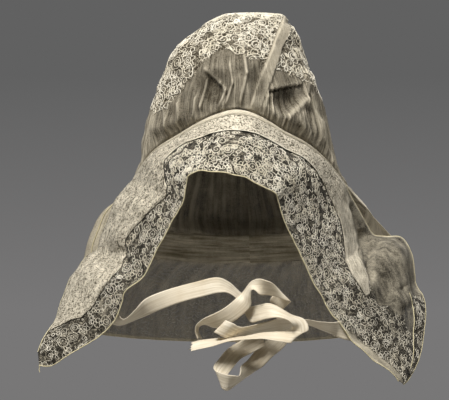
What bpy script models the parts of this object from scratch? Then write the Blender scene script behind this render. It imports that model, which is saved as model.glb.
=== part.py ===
"""A worn lace cap: a tall gathered crown, a band, a wide lace frill that frames the face and
ends in two lappets, a second layer laid over the frill, a curtain behind, and two ribbon ties.

Metres, +Z up. The face looks along -Y and +X is on the viewer's right. The origin is where
the cap sits: on top of the head, level with the top of the band at the forehead.
Every table below is in millimetres, and its columns are named above it. The tables give the cap
as it looks from the front, where what lies further back looks smaller, and each point is then
moved to its true place."""

import math

import bmesh
import bpy
import numpy as np
from mathutils import Vector

MM = 0.001

# Driving dimensions, in millimetres
CROWN_TOP = 92.0
NET_WALL = 1.2
LACE_WALL = 1.0
BAND_WALL = 1.6
RIBBON_WIDTH = 16.0
RIBBON_WALL = 1.0
SEWN_GAP = 0.9
FACING_LIFT_AT_SEAM = 1.7
FACING_LIFT_AT_EDGE = 3.2
HEAD_MIDDLE_Y = 42.0

# Where the cap is looked at from: the line of sight, the plane of the face and the distance
SIGHT_X = -10.9
SIGHT_Z = -85.5
FACE_Y = -35.0
FACE_AWAY = 2965.0

# The crown's gathers: how many go round, how deep, and the shares of its rise over which they
# deepen from the seam and fade again
GATHERS = 30
GATHER_DEPTH = 3.2
GATHER_START = 0.1
GATHER_FADE = 0.7

# The height over which the crown swells from the seam to its own outline, and the heights
# between which its folds die out towards the flat top
PUFF_HEIGHT = 14.0
TOP_FADE = (84.0, 92.0)

# Where the frill turns away from the band most: the share of the seam's round, and the reach
SIDE_SHARE = 0.17
SIDE_REACH = 0.04

# The seam between crown and band, from the forehead round by the right side, the nape and
# the left side: x, y, z, then how far the band's lower edge stands out and drops from it.
SEAM = (
    (-1.5, -28.0, 0.0, 3.0, 4.0),
    (14.0, -26.5, -2.4, 3.0, 4.0),
    (30.0, -22.0, -10.0, 3.0, 4.0),
    (46.0, -14.0, -20.0, 3.0, 4.0),
    (65.0, -1.0, -30.0, 3.0, 4.0),
    (80.0, 12.0, -42.0, 3.0, 4.0),
    (90.0, 22.0, -53.0, 3.0, 4.5),
    (99.0, 34.0, -65.0, 3.5, 5.0),
    (108.0, 46.0, -75.0, 5.0, 7.0),
    (118.0, 60.0, -85.0, 10.0, 13.0),
    (124.0, 76.0, -96.0, 16.0, 22.0),
    (118.0, 94.0, -106.0, 15.0, 24.0),
    (92.0, 108.0, -114.0, 11.0, 24.0),
    (50.0, 116.0, -118.0, 8.0, 24.0),
    (0.0, 118.0, -120.0, 7.0, 24.0),
    (-50.0, 116.0, -118.0, 8.0, 24.0),
    (-88.0, 106.0, -113.0, 11.0, 22.0),
    (-106.0, 88.0, -103.0, 11.0, 17.0),
    (-104.0, 66.0, -90.0, 8.0, 11.0),
    (-98.0, 46.0, -74.0, 5.0, 7.0),
    (-93.0, 32.0, -60.0, 3.5, 5.0),
    (-77.0, 12.0, -38.0, 3.0, 4.0),
    (-56.0, -4.0, -24.0, 3.0, 4.0),
    (-34.0, -19.0, -11.0, 3.0, 4.0),
    (-18.0, -25.5, -4.0, 3.0, 4.0),
)
SEAM_RIGHT_SIDE = 7
SEAM_LEFT_SIDE = -5

# The crown's level outlines from the top down: z, x at left, x at right, y in front, y behind
CROWN_LEVELS = (
    (92.0, 16.0, 16.0, 35.0, 35.0),
    (91.0, -9.0, 41.0, 20.0, 50.0),
    (89.0, -15.0, 47.0, 12.0, 58.0),
    (82.0, -29.0, 51.0, 2.0, 68.0),
    (78.0, -33.0, 57.0, -2.0, 72.0),
    (69.0, -45.0, 60.0, -11.0, 80.0),
    (61.0, -56.0, 62.0, -17.0, 86.0),
    (52.0, -62.0, 65.0, -22.0, 92.0),
    (39.0, -67.0, 70.0, -26.0, 99.0),
    (25.0, -73.0, 77.0, -28.0, 106.0),
    (7.0, -80.0, 82.0, -30.0, 112.0),
    (-9.0, -84.0, 86.0, -33.0, 116.0),
    (-29.0, -88.0, 90.0, -35.0, 119.0),
    (-50.0, -90.0, 95.0, -37.0, 122.0),
    (-72.0, -95.0, 101.0, -39.0, 125.0),
    (-85.0, -103.0, 110.0, -40.0, 127.0),
    (-100.0, -112.0, 122.0, -41.0, 128.0),
    (-125.0, -114.0, 126.0, -41.0, 128.0),
)

# Folds of the crown's front, standing out: x and z at each end, half width, height
CROWN_FOLDS = (
    (49.0, 86.0, 18.0, 2.0, 4.8, 3.6),
    (8.5, 60.0, 6.0, 8.0, 3.0, 2.6),
    (60.0, 57.0, 64.0, 12.0, 4.0, 2.0),
    (-28.0, 39.0, -10.0, 22.0, 3.4, 2.4),
    (-10.0, 22.0, -17.0, 4.0, 3.4, 2.4),
    (-72.0, 22.0, -78.0, -16.0, 9.0, 2.5),
)

# Hollows of the crown's front: x, z, half width, half height, depth
CROWN_HOLLOWS = (
    (-23.0, 20.0, 14.0, 18.0, 9.0),
    (47.0, 9.0, 15.0, 15.0, 7.0),
    (22.0, 24.0, 9.0, 20.0, 4.0),
    (-50.0, -4.0, 14.0, 14.0, 3.0),
)

# The frill from the left lappet's tip to the band, as sections across it: x, y, z of its outer
# edge, x, y, z of its inner edge round the face, then how far its middle swells out
LEFT_LAPPET = (
    (-188.0, -32.0, -230.0, -187.0, -40.0, -243.0, 0.0),
    (-183.0, -28.0, -217.0, -175.0, -44.0, -243.0, 2.0),
    (-177.0, -22.0, -208.0, -159.0, -47.0, -233.0, 4.0),
    (-171.0, -14.0, -199.0, -140.0, -50.0, -222.0, 6.0),
    (-167.0, -4.0, -185.0, -128.0, -52.0, -214.0, 8.0),
    (-163.0, 3.0, -175.0, -115.0, -54.0, -200.0, 9.0),
    (-158.0, 9.0, -161.5, -108.0, -55.0, -183.0, 9.0),
    (-151.0, 13.0, -152.0, -104.5, -56.0, -172.0, 8.0),
    (-142.5, 16.0, -140.0, -89.0, -56.0, -160.0, 5.0),
    (-132.0, 18.0, -133.0, -82.0, -57.0, -148.0, 5.0),
    (-128.0, 20.0, -119.0, -74.5, -58.0, -132.0, 8.0),
    (-122.0, 22.0, -105.5, -67.5, -60.0, -120.0, 9.0),
    (-116.0, 24.0, -89.0, -61.0, -62.0, -107.0, 9.0),
    (-109.5, 27.0, -80.0, -55.0, -65.0, -97.0, 8.0),
    (-102.5, 30.0, -71.5, -50.0, -68.0, -88.0, 7.0),
)

# The same over the forehead, where the outer edge follows the band: x on the seam, then
# x, y, z of the inner edge and the swell
FOREHEAD = (
    (-93.0, -47.5, -70.0, -75.0, 7.0),
    (-84.0, -46.0, -72.0, -66.5, 6.0),
    (-74.0, -44.0, -74.0, -62.0, 6.0),
    (-56.0, -34.5, -77.0, -58.0, 6.0),
    (-34.0, -23.0, -79.0, -59.0, 6.0),
    (-18.0, -12.0, -80.0, -59.5, 6.0),
    (-1.5, -1.5, -80.0, -62.0, 6.0),
    (14.0, 8.5, -79.0, -64.0, 6.0),
    (30.0, 19.0, -78.0, -70.0, 6.0),
    (46.0, 28.5, -76.0, -74.5, 6.0),
    (65.0, 37.0, -73.0, -79.0, 6.0),
    (80.0, 39.0, -70.0, -83.5, 6.0),
    (90.0, 41.0, -67.0, -91.0, 6.0),
    (99.0, 45.5, -64.0, -105.5, 6.0),
)

# The same from the band to the right lappet's tip, with the columns of the left lappet
RIGHT_LAPPET = (
    (110.0, 43.0, -84.0, 53.0, -61.0, -121.5, 6.0),
    (117.0, 50.0, -96.0, 61.0, -59.0, -138.0, 6.0),
    (124.0, 58.0, -109.0, 68.5, -57.0, -154.0, 6.0),
    (131.0, 63.0, -119.0, 74.0, -56.0, -166.0, 6.0),
    (143.0, 66.0, -120.5, 78.0, -55.0, -172.0, 6.0),
    (157.0, 69.0, -121.5, 82.0, -54.0, -178.5, 7.0),
    (166.0, 66.0, -135.0, 85.5, -53.0, -186.0, 8.0),
    (169.0, 63.0, -150.0, 91.0, -52.0, -195.0, 9.0),
    (170.5, 58.0, -165.0, 97.0, -51.0, -201.0, 10.0),
    (178.0, 50.0, -178.5, 103.5, -50.0, -210.0, 10.0),
    (180.0, 40.0, -192.0, 110.0, -49.0, -220.0, 9.0),
    (178.5, 27.0, -209.0, 120.0, -47.0, -228.0, 8.0),
    (176.0, 10.0, -228.0, 131.0, -45.0, -238.5, 6.0),
    (171.0, -6.0, -243.0, 141.5, -43.0, -245.0, 4.0),
    (164.0, -22.0, -255.5, 149.0, -41.0, -251.0, 2.0),
    (159.0, -34.0, -261.0, 154.0, -39.0, -258.0, 0.0),
)

# Folds of the frill seen from the front: x and z at each end, half width, height, where a
# height below zero is a valley
FRILL_FOLDS = (
    (-150.0, -146.0, -106.0, -136.0, 4.0, -1.6),
    (112.0, -92.0, 122.0, -118.0, 4.0, -5.0),
    (122.0, -118.0, 131.0, -158.0, 4.5, -7.0),
    (140.0, -134.0, 147.0, -172.0, 5.0, -6.0),
    (156.0, -138.0, 158.0, -180.0, 7.0, 4.0),
)

# The second layer laid over the frill: the section it is at, counted from the left tip, and
# the shares of the frill's width between which it lies there
FACING = (
    (2.0, 0.02, 0.08),
    (3.0, 0.02, 0.33),
    (4.0, 0.02, 0.60),
    (5.0, 0.02, 0.67),
    (7.0, 0.02, 0.75),
    (8.0, 0.02, 0.68),
    (9.0, 0.02, 0.60),
    (10.0, 0.02, 0.56),
    (11.0, 0.02, 0.62),
    (12.0, 0.02, 0.70),
    (14.0, 0.02, 0.76),
    (15.0, 0.02, 0.75),
    (16.0, 0.02, 0.62),
    (17.0, 0.02, 0.45),
    (18.0, 0.02, 0.34),
    (20.0, 0.02, 0.34),
    (22.0, 0.02, 0.32),
    (23.0, 0.02, 0.28),
    (25.0, 0.02, 0.29),
    (27.0, 0.02, 0.32),
    (28.0, 0.03, 0.34),
    (29.0, 0.06, 0.36),
    (30.0, 0.18, 0.40),
    (31.0, 0.24, 0.49),
    (32.0, 0.32, 0.57),
    (33.0, 0.44, 0.62),
    (34.0, 0.54, 0.68),
    (35.0, 0.58, 0.68),
    (36.0, 0.62, 0.66),
)

# The curtain from its left end round the nape to its right end: x on or share along the band,
# then x, y, z of its belly and of its hem
CURTAIN = (
    (-0.214, -111.0, 38.0, -100.0, -136.0, 30.0, -182.0),
    (-0.224, -133.0, 46.0, -109.0, -152.0, 48.0, -184.0),
    (-0.270, -134.0, 80.0, -130.0, -148.0, 84.0, -200.0),
    (-0.340, -118.0, 116.0, -158.0, -132.0, 128.0, -212.0),
    (-0.420, -66.0, 138.0, -170.0, -76.0, 156.0, -218.0),
    (-0.500, 0.0, 144.0, -174.0, 0.0, 164.0, -220.0),
    (-0.580, 66.0, 138.0, -172.0, 78.0, 156.0, -218.0),
    (-0.650, 122.0, 118.0, -162.0, 136.0, 126.0, -208.0),
    (-0.700, 150.0, 94.0, -144.0, 163.0, 96.0, -186.0),
    (-0.728, 159.0, 79.0, -134.0, 167.0, 74.0, -160.0),
)
BELLY = 0.45

# The ties, from the end sewn behind the lappet to the free end: x, y, z of the middle, the
# direction of the width seen from the front in degrees, and how far it leans to the viewer
LEFT_TIE = (
    (-123.1, -42.2, -179.7, 27.0, 22.0),
    (-119.1, -46.4, -191.6, 36.0, 26.0),
    (-113.0, -46.0, -199.5, 66.0, 50.0),
    (-105.5, -45.5, -201.0, 95.0, 72.0),
    (-94.0, -47.5, -194.0, 110.0, 55.0),
    (-81.5, -51.0, -185.5, 108.0, 25.0),
    (-58.0, -57.0, -176.5, 106.0, 0.0),
    (-34.0, -60.0, -170.0, 104.0, 0.0),
    (-19.0, -60.0, -166.5, 92.0, -8.0),
    (-9.5, -55.5, -168.0, 66.0, -45.0),
    (-2.5, -50.0, -172.0, 48.0, -62.0),
    (4.0, -47.0, -178.0, 50.0, -60.0),
    (9.5, -50.0, -187.0, 78.0, -30.0),
    (14.0, -58.0, -194.0, 92.0, 0.0),
    (21.0, -66.0, -193.0, 95.0, 5.0),
    (29.5, -69.0, -191.0, 88.0, 8.0),
    (37.5, -70.5, -191.5, 78.0, 32.0),
    (45.0, -71.5, -194.0, 68.0, 62.0),
    (53.0, -72.5, -198.0, 55.0, 72.0),
    (59.0, -72.0, -202.0, 30.0, 50.0),
    (61.0, -71.5, -208.0, 8.0, 20.0),
    (60.0, -73.0, -214.0, 30.0, 20.0),
    (52.0, -75.5, -215.5, 80.0, 45.0),
    (38.0, -76.5, -215.0, 90.0, 66.0),
    (24.5, -76.5, -214.5, 92.0, 76.0),
    (8.5, -75.5, -216.5, 90.0, 76.0),
    (-8.0, -73.5, -218.2, 84.0, 68.0),
    (-23.0, -72.0, -221.0, 80.0, 56.0),
    (-34.0, -71.5, -223.0, 78.0, 54.0),
    (-42.5, -71.0, -225.0, 78.0, 56.0),
)
RIGHT_TIE = (
    (111.5, -41.9, -212.3, 87.0, -22.0),
    (100.0, -48.2, -209.0, 85.0, -24.0),
    (92.0, -50.0, -207.5, 84.0, 2.0),
    (80.5, -51.0, -205.0, 84.0, 48.0),
    (66.0, -53.0, -201.5, 88.0, 74.0),
    (54.0, -53.0, -203.0, 82.0, 64.0),
    (43.0, -53.5, -204.5, 94.0, 36.0),
    (32.0, -55.5, -206.5, 92.0, 40.0),
    (21.0, -59.5, -208.5, 92.0, 50.0),
    (9.5, -63.0, -210.5, 82.0, 54.0),
    (0.5, -70.0, -212.0, 62.0, 36.0),
    (-7.5, -77.0, -209.0, 54.0, 8.0),
    (-14.5, -76.0, -206.0, 47.0, -4.0),
    (-14.0, -71.0, -206.0, 46.0, -4.0),
    (-5.0, -64.0, -211.0, 52.0, 6.0),
    (8.0, -51.0, -214.5, 84.0, 10.0),
    (19.0, -47.0, -215.0, 96.0, 0.0),
    (25.5, -48.5, -216.5, 110.0, 0.0),
    (20.0, -52.5, -219.5, 126.0, 0.0),
    (9.0, -56.5, -225.5, 134.0, 0.0),
    (-2.0, -62.0, -232.0, 146.0, 0.0),
    (-10.6, -67.0, -242.0, 153.0, 0.0),
    (-16.0, -71.0, -249.5, 130.0, -8.0),
    (-16.5, -76.5, -255.5, 108.0, 0.0),
    (-8.0, -79.0, -259.0, 88.0, 20.0),
    (1.5, -75.0, -256.5, 86.0, 62.0),
    (6.0, -66.0, -252.5, 130.0, 66.0),
    (11.0, -60.0, -246.0, 152.0, 34.0),
    (18.0, -52.0, -241.0, 158.0, 10.0),
    (27.0, -44.5, -231.0, 148.0, 0.0),
    (40.0, -38.0, -219.5, 142.0, 0.0),
    (47.0, -35.0, -206.0, 160.0, 0.0),
    (43.0, -43.0, -193.0, 158.0, 0.0),
    (38.5, -53.0, -185.5, 140.0, 0.0),
    (44.0, -57.5, -179.0, 138.0, 0.0),
    (46.5, -61.5, -176.5, 135.0, 0.0),
    (43.0, -66.0, -174.5, 124.0, 4.0),
    (36.0, -69.0, -170.5, 108.0, 8.0),
    (27.5, -70.5, -168.5, 95.0, 0.0),
    (20.0, -69.5, -168.0, 106.0, -42.0),
    (13.5, -66.5, -168.5, 136.0, -72.0),
    (9.5, -64.5, -176.0, 160.0, -58.0),
    (6.0, -65.0, -184.0, 146.0, -18.0),
    (-7.5, -65.0, -195.0, 124.0, 0.0),
    (-22.5, -64.5, -201.5, 124.0, 30.0),
    (-31.5, -62.0, -202.0, 136.0, 70.0),
    (-36.5, -59.5, -205.5, 160.0, 78.0),
    (-37.0, -57.5, -211.0, 175.0, 78.0),
    (-34.5, -56.0, -217.0, 185.0, 74.0),
)


def true_place(point):
    """A point of the tables moved out from the line of sight by how far back it lies."""
    x, y, z = point
    spread = 1.0 + (y - FACE_Y) / FACE_AWAY
    return SIGHT_X + (x - SIGHT_X) * spread, y, SIGHT_Z + (z - SIGHT_Z) * spread


def smooth(value):
    """Eases a share from 0 to 1, held at both ends."""
    share = min(max(value, 0.0), 1.0)
    return share * share * (3.0 - 2.0 * share)


def through(rows, place, closed=False):
    """The row at a place along a table, on a smooth curve through its rows."""
    count = len(rows)
    if closed:
        start = math.floor(place)
        near = [rows[(start + step) % count] for step in (-1, 0, 1, 2)]
    else:
        start = min(max(math.floor(place), 0), count - 2)
        near = [rows[min(max(start + step, 0), count - 1)] for step in (-1, 0, 1, 2)]
    share = place - start
    before, here, after, beyond = (np.array(row) for row in near)
    slope = (after - before) / 2.0
    next_slope = (beyond - here) / 2.0
    square, cube = share**2, share**3
    return (
        (2.0 * cube - 3.0 * square + 1.0) * here
        + (cube - 2.0 * square + share) * slope
        + (3.0 * square - 2.0 * cube) * after
        + (cube - square) * next_slope
    )


def between(rows, key):
    """A table's row where its first column has the value, on straight lines between rows."""
    table = np.array(rows)
    order = np.argsort(table[:, 0])
    keys = table[order, 0]
    return np.array([np.interp(key, keys, column) for column in table[order, 1:].T])


# The seam's run, measured so that shares of its length are even
SEAM_STEPS = 16
seam_places = np.arange(-len(SEAM), len(SEAM) + 1, 1.0 / SEAM_STEPS)
seam_points = np.array([through(SEAM, place, closed=True) for place in seam_places])
seam_lengths = np.concatenate(
    ([0.0], np.cumsum(np.linalg.norm(np.diff(seam_points[:, :3], axis=0), axis=1)))
)
seam_middle = len(SEAM) * SEAM_STEPS
seam_round = seam_lengths[2 * seam_middle] - seam_lengths[seam_middle]
seam_shares = (seam_lengths - seam_lengths[seam_middle]) / seam_round


def seam(share):
    """x, y, z, stand-out and drop of the seam, from the forehead (0) round to it again (1)."""
    return np.array([np.interp(share, seam_shares, column) for column in seam_points.T])


def seam_share_at(side_x):
    """The share of the seam's round at which its front stretch is at this x."""
    first = seam_middle + SEAM_LEFT_SIDE * SEAM_STEPS
    last = seam_middle + SEAM_RIGHT_SIDE * SEAM_STEPS + 1
    return np.interp(side_x, seam_points[first:last, 0], seam_shares[first:last])


def outward(point):
    """The level direction away from the middle of the head."""
    away = np.array([point[0], point[1] - HEAD_MIDDLE_Y, 0.0])
    return away / np.linalg.norm(away)


def band_point(share, across):
    """A point on the band, from the seam (0) to its lower edge (1)."""
    x, y, z, stand_out, drop = seam(share)
    top = np.array([x, y, z])
    down = stand_out * outward(top) - np.array([0.0, 0.0, drop])
    return top + across * down


def below_band(share):
    """A point just under the band's lower edge, where frill and curtain are sewn on. The frill
    turns away from the band most at the sides of the face, where it needs more room."""
    low = band_point(share, 1.0)
    down = low - band_point(share, 0.0)
    at_side = smooth(2.0 - abs(abs(share) - SIDE_SHARE) / SIDE_REACH)
    gap = SEWN_GAP * (1.0 + at_side)
    return low + gap * down / np.linalg.norm(down)


def crown_level(z):
    """Middle and half widths of the crown's outline at a height."""
    drops = [(math.sqrt(CROWN_TOP - row[0]), *row[1:]) for row in CROWN_LEVELS]
    left, right, front, back = between(drops, math.sqrt(max(CROWN_TOP - z, 0.0)))
    return (left + right) / 2, (front + back) / 2, (right - left) / 2, (back - front) / 2


def from_line(x, z, row):
    """Distance from a fold's line, seen from the front."""
    x1, z1, x2, z2 = row[:4]
    run_x, run_z = x2 - x1, z2 - z1
    share = ((x - x1) * run_x + (z - z1) * run_z) / (run_x**2 + run_z**2)
    held = min(max(share, 0.0), 1.0)
    return math.hypot(x - x1 - held * run_x, z - z1 - held * run_z)


def fold_height(x, z, folds):
    """How far the folds in a table stand out at a place seen from the front."""
    height = 0.0
    for row in folds:
        gap = from_line(x, z, row)
        height += row[5] * smooth(1.5 - gap / row[4])
    return height


def hollow_depth(x, z):
    """How deep the crown's hollows are at a place seen from the front."""
    depth = 0.0
    for middle_x, middle_z, half_width, half_height, full in CROWN_HOLLOWS:
        gap = math.hypot((x - middle_x) / half_width, (z - middle_z) / half_height)
        depth += full * smooth(1.25 - gap)
    return depth


def crown_point(share, rise):
    """A point on the crown, from the seam (rise 0) to the top (rise 1)."""
    down = band_point(share, 1.0) - band_point(share, 0.0)
    seam_x, seam_y, seam_z = band_point(share, -SEWN_GAP / np.linalg.norm(down))
    middle_x, middle_y, half_x, half_y = crown_level(seam_z)
    turn = math.atan2((seam_x - middle_x) / half_x, -(seam_y - middle_y) / half_y)
    z = seam_z + (CROWN_TOP - seam_z) * math.sin(rise * math.pi / 2) ** 0.9
    middle_x, middle_y, half_x, half_y = crown_level(z)
    x = middle_x + half_x * math.sin(turn)
    y = middle_y - half_y * math.cos(turn)
    puffed = smooth((z - seam_z) / PUFF_HEIGHT)
    x = seam_x + (x - seam_x) * puffed
    y = seam_y + (y - seam_y) * puffed
    out = math.cos(2 * math.pi * GATHERS * share) * GATHER_DEPTH
    out *= (1.0 - smooth(rise / GATHER_FADE)) * smooth(rise / GATHER_START)
    forward = (middle_y - y) / max(half_y, 0.001)
    facing_front = smooth((forward - 0.15) / 0.4) * smooth(rise / 0.06)
    if facing_front > 0.0:
        out += (fold_height(x, z, CROWN_FOLDS) - hollow_depth(x, z)) * facing_front
    to_top = smooth((z - TOP_FADE[0]) / (TOP_FADE[1] - TOP_FADE[0]))
    away = outward((x, y, z)) * (1.0 - to_top)
    return np.array([x, y, z]) + out * away


def frill_rows():
    """All sections of the frill in order: outer edge, inner edge, swell."""
    rows = list(LEFT_LAPPET)
    for seam_x, x, y, z, swell in FOREHEAD:
        rows.append((*below_band(seam_share_at(seam_x)), x, y, z, swell))
    return rows + list(RIGHT_LAPPET)


FRILL = frill_rows()
FRILL_LAST = len(FRILL) - 1.0


def frill_base(place, across):
    """The frill before its folds, from its outer edge (across 0) to the face (1)."""
    row = through(FRILL, place)
    outer, inner, swell = row[:3], row[3:6], row[6]
    along = through(FRILL, min(place + 0.2, FRILL_LAST)) - through(FRILL, max(place - 0.2, 0.0))
    run = along[:3] * (1 - across) + along[3:6] * across
    normal = np.cross(inner - outer, run)
    normal /= np.linalg.norm(normal)
    point = outer + (inner - outer) * across
    return point + normal * swell * math.sin(math.pi * across) ** 1.3, normal


def frill_point(place, across, lift=0.0):
    """A point on the frill with its folds, lifted off it towards the viewer."""
    point, normal = frill_base(place, across)
    faded = smooth(across / 0.12) * smooth((1.0 - across) / 0.12)
    height = fold_height(point[0], point[2], FRILL_FOLDS) * faded
    return point + normal * (height + lift)


def facing_point(place, across):
    """A point on the layer over the frill, which stands off more at its free edge."""
    start, end = between(FACING, place)
    lift = FACING_LIFT_AT_SEAM + (FACING_LIFT_AT_EDGE - FACING_LIFT_AT_SEAM) * across
    return frill_point(place, start + (end - start) * across, lift)


def curtain_point(share, down):
    """A point on the curtain, from the band (0) to its hem (1)."""
    row = through(CURTAIN, share * (len(CURTAIN) - 1))
    drop = down / BELLY if down < BELLY else 1.0 + (down - BELLY) / (1.0 - BELLY)
    return through((below_band(row[0]), row[1:4], row[4:7]), drop)


def tie_section(rows, place):
    """Middle of a tie and the half width towards its upper edge."""
    x, y, z, turn, lean = through(rows, place)
    turn, lean = math.radians(turn), math.radians(lean)
    half = RIBBON_WIDTH / 2
    towards = (
        half * math.cos(lean) * math.cos(turn),
        -half * math.sin(lean),
        half * math.cos(lean) * math.sin(turn),
    )
    return np.array([x, y, z]), np.array(towards)


def material(name, colour, roughness):
    """A plain finish with the piece's colour and roughness."""
    made = bpy.data.materials.new(name)
    made.use_nodes = True
    shader = made.node_tree.nodes["Principled BSDF"]
    shader.inputs["Base Color"].default_value = (*colour, 1.0)
    shader.inputs["Roughness"].default_value = roughness
    shader.inputs["Metallic"].default_value = 0.0
    return made


def wall(name, steps, point, thickness, offset, finish):
    """A cloth wall: a grid carried to its place by a function, then given its thickness."""
    grid = bmesh.new()
    bmesh.ops.create_grid(grid, x_segments=steps[0], y_segments=steps[1], size=0.5)
    for corner in grid.verts:
        corner.co = Vector(true_place(point(corner.co.x + 0.5, corner.co.y + 0.5))) * MM
    bmesh.ops.remove_doubles(grid, verts=grid.verts, dist=0.00002)
    mesh = bpy.data.meshes.new(name)
    grid.to_mesh(mesh)
    grid.free()
    mesh.materials.append(finish)
    mesh.shade_smooth()
    piece = bpy.data.objects.new(name, mesh)
    cap_pieces.objects.link(piece)
    solidify = piece.modifiers.new("Wall", "SOLIDIFY")
    solidify.thickness = thickness * MM
    solidify.offset = offset
    solidify.use_even_offset = False
    return piece


def tie(name, rows, steps, finish):
    """A flat ribbon that follows its table."""

    def ribbon_point(across, along):
        middle, half = tie_section(rows, along * (len(rows) - 1))
        return middle + half * (2.0 * across - 1.0)

    return wall(name, (1, steps), ribbon_point, RIBBON_WALL, 0.0, finish)


for old in list(bpy.data.objects):
    bpy.data.objects.remove(old)
cap_pieces = bpy.data.collections.new("lace_cap")
bpy.context.scene.collection.children.link(cap_pieces)

net = material("Cotton net", (0.56, 0.52, 0.41), 0.85)
lace = material("Cotton lace", (0.64, 0.60, 0.49), 0.85)
tape = material("Cream ribbon", (0.70, 0.61, 0.45), 0.60)

ROUND_STEPS = 60
wall("crown", (ROUND_STEPS, 15), crown_point, NET_WALL, -1.0, net)
wall("band", (ROUND_STEPS, 1), band_point, BAND_WALL, 0.0, tape)
wall(
    "front_frill",
    (86, 10),
    lambda along, across: frill_point(along * FRILL_LAST, across),
    LACE_WALL,
    1.0,
    lace,
)
facing_first, facing_last = FACING[0][0], FACING[-1][0]
wall(
    "frill_facing",
    (62, 5),
    lambda along, across: facing_point(
        facing_first + (facing_last - facing_first) * along, across
    ),
    LACE_WALL,
    -1.0,
    net,
)
wall("back_curtain", (36, 5), curtain_point, LACE_WALL, 0.0, net)
tie("tie_left", LEFT_TIE, 76, tape)
tie("tie_right", RIGHT_TIE, 116, tape)
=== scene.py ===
"""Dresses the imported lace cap: net and lace cloth, embroidery threads, ruched band and ribbon ties.

Lengths in the tables are millimetres, +Z is up, the face looks along -Y and +X is on the
viewer's right. The origin is on top of the head, level with the band at the forehead. The
tables give the cap as it looks from the front, where what lies further back looks smaller,
and true_place moves each point to where it is."""

import math
import random
from functools import lru_cache

import bmesh
import bpy
import numpy as np
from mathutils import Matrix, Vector, noise


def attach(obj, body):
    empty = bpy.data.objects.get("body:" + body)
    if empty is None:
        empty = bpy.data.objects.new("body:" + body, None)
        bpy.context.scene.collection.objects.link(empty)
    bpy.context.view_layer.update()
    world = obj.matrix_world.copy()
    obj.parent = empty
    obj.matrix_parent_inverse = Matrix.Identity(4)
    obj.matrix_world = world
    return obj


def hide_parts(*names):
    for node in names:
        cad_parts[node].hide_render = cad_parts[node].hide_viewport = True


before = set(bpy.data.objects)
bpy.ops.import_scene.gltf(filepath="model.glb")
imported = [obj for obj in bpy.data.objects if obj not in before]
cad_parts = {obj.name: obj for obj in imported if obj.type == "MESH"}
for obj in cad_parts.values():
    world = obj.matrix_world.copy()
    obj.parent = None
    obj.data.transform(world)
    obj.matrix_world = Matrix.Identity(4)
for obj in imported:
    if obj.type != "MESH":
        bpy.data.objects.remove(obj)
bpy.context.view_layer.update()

# Camera
# The photograph looks level at the face with a long lens, from about three metres. A pixel is
# 0.95 mm wide in the plane of the cap's face.
MM = 0.001
PHOTO_WIDE = 449
PIXEL_MM = 0.95
SENSOR_MM = 36.0
CAMERA_AWAY = 3000.0
FACE_Y = -35.0
FACE_AWAY = CAMERA_AWAY + FACE_Y
SIGHT_X = -10.9
SIGHT_Z = -85.5

camera_data = bpy.data.cameras.new("camera")
camera_data.sensor_width = SENSOR_MM
camera_data.lens = SENSOR_MM * FACE_AWAY / (PHOTO_WIDE * PIXEL_MM)
camera = bpy.data.objects.new("camera", camera_data)
camera.location = (SIGHT_X * MM, -CAMERA_AWAY * MM, SIGHT_Z * MM)
camera.rotation_euler = (math.radians(90.0), 0.0, 0.0)
bpy.context.scene.collection.objects.link(camera)
bpy.context.scene.camera = camera

# Ribbon ties
# Two cream cotton tapes, each sewn by one end behind a lappet and tied to the other in a loose
# knot under the chin. They are woven flat with fine lengthwise threads, and the cut ends fray.
RIBBON_WIDTH = 16.0
RIBBON_WALL = 0.5
RIBBON_ACROSS = 12
RIBBON_STEPS_A_ROW = 7
RIBBON_RIPPLE = 0.35
RIPPLE_LONG = 14.0
RIBBON_FRAY = 7.0
FRAY_WIDE = 6.0
FRAYED_FROM = 0.999
TAPE_THREAD_MM = 1.1  # real warp threads are 0.4 mm apart, drawn coarser so that they show

# From the end sewn behind the lappet to the free end: x, y, z of the middle, the direction of
# the width seen from the front in degrees, and how far it leans to the viewer
LEFT_TIE = (
    (-123.1, -42.2, -179.7, 27, 22), (-119.1, -46.4, -191.6, 36, 26), (-113, -46, -199.5, 66, 50),
    (-105.5, -45.5, -201, 95, 72), (-94, -47.5, -194, 110, 55), (-81.5, -51, -185.5, 108, 12),
    (-58, -57, -176.5, 106, -16), (-34, -60, -170, 104, -18), (-19, -60, -166.5, 92, -20),
    (-9.5, -55.5, -168, 66, -45), (-2.5, -50, -172, 48, -62), (4, -47, -178, 50, -60),
    (9.5, -50, -187, 78, -30), (14, -58, -194, 92, -14), (21, -66, -193, 95, -18),
    (29.5, -69, -191, 88, -22), (37.5, -70.5, -191.5, 78, -44), (45, -71.5, -194, 68, -62),
    (53, -72.5, -198, 55, -64), (59, -72, -202, 30, -36), (61, -71.5, -208, 8, 0),
    (60, -73, -214, 30, -8), (52, -75.5, -215.5, 80, -40), (38, -76.5, -215, 90, -56),
    (24.5, -77, -214.5, 92, -68), (8.5, -77, -216.5, 90, -78), (-8, -75.5, -218.2, 84, -76),
    (-23, -73, -221, 80, -62), (-34, -71.5, -223, 78, -56), (-42.5, -71, -225, 78, -57),
)
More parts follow.
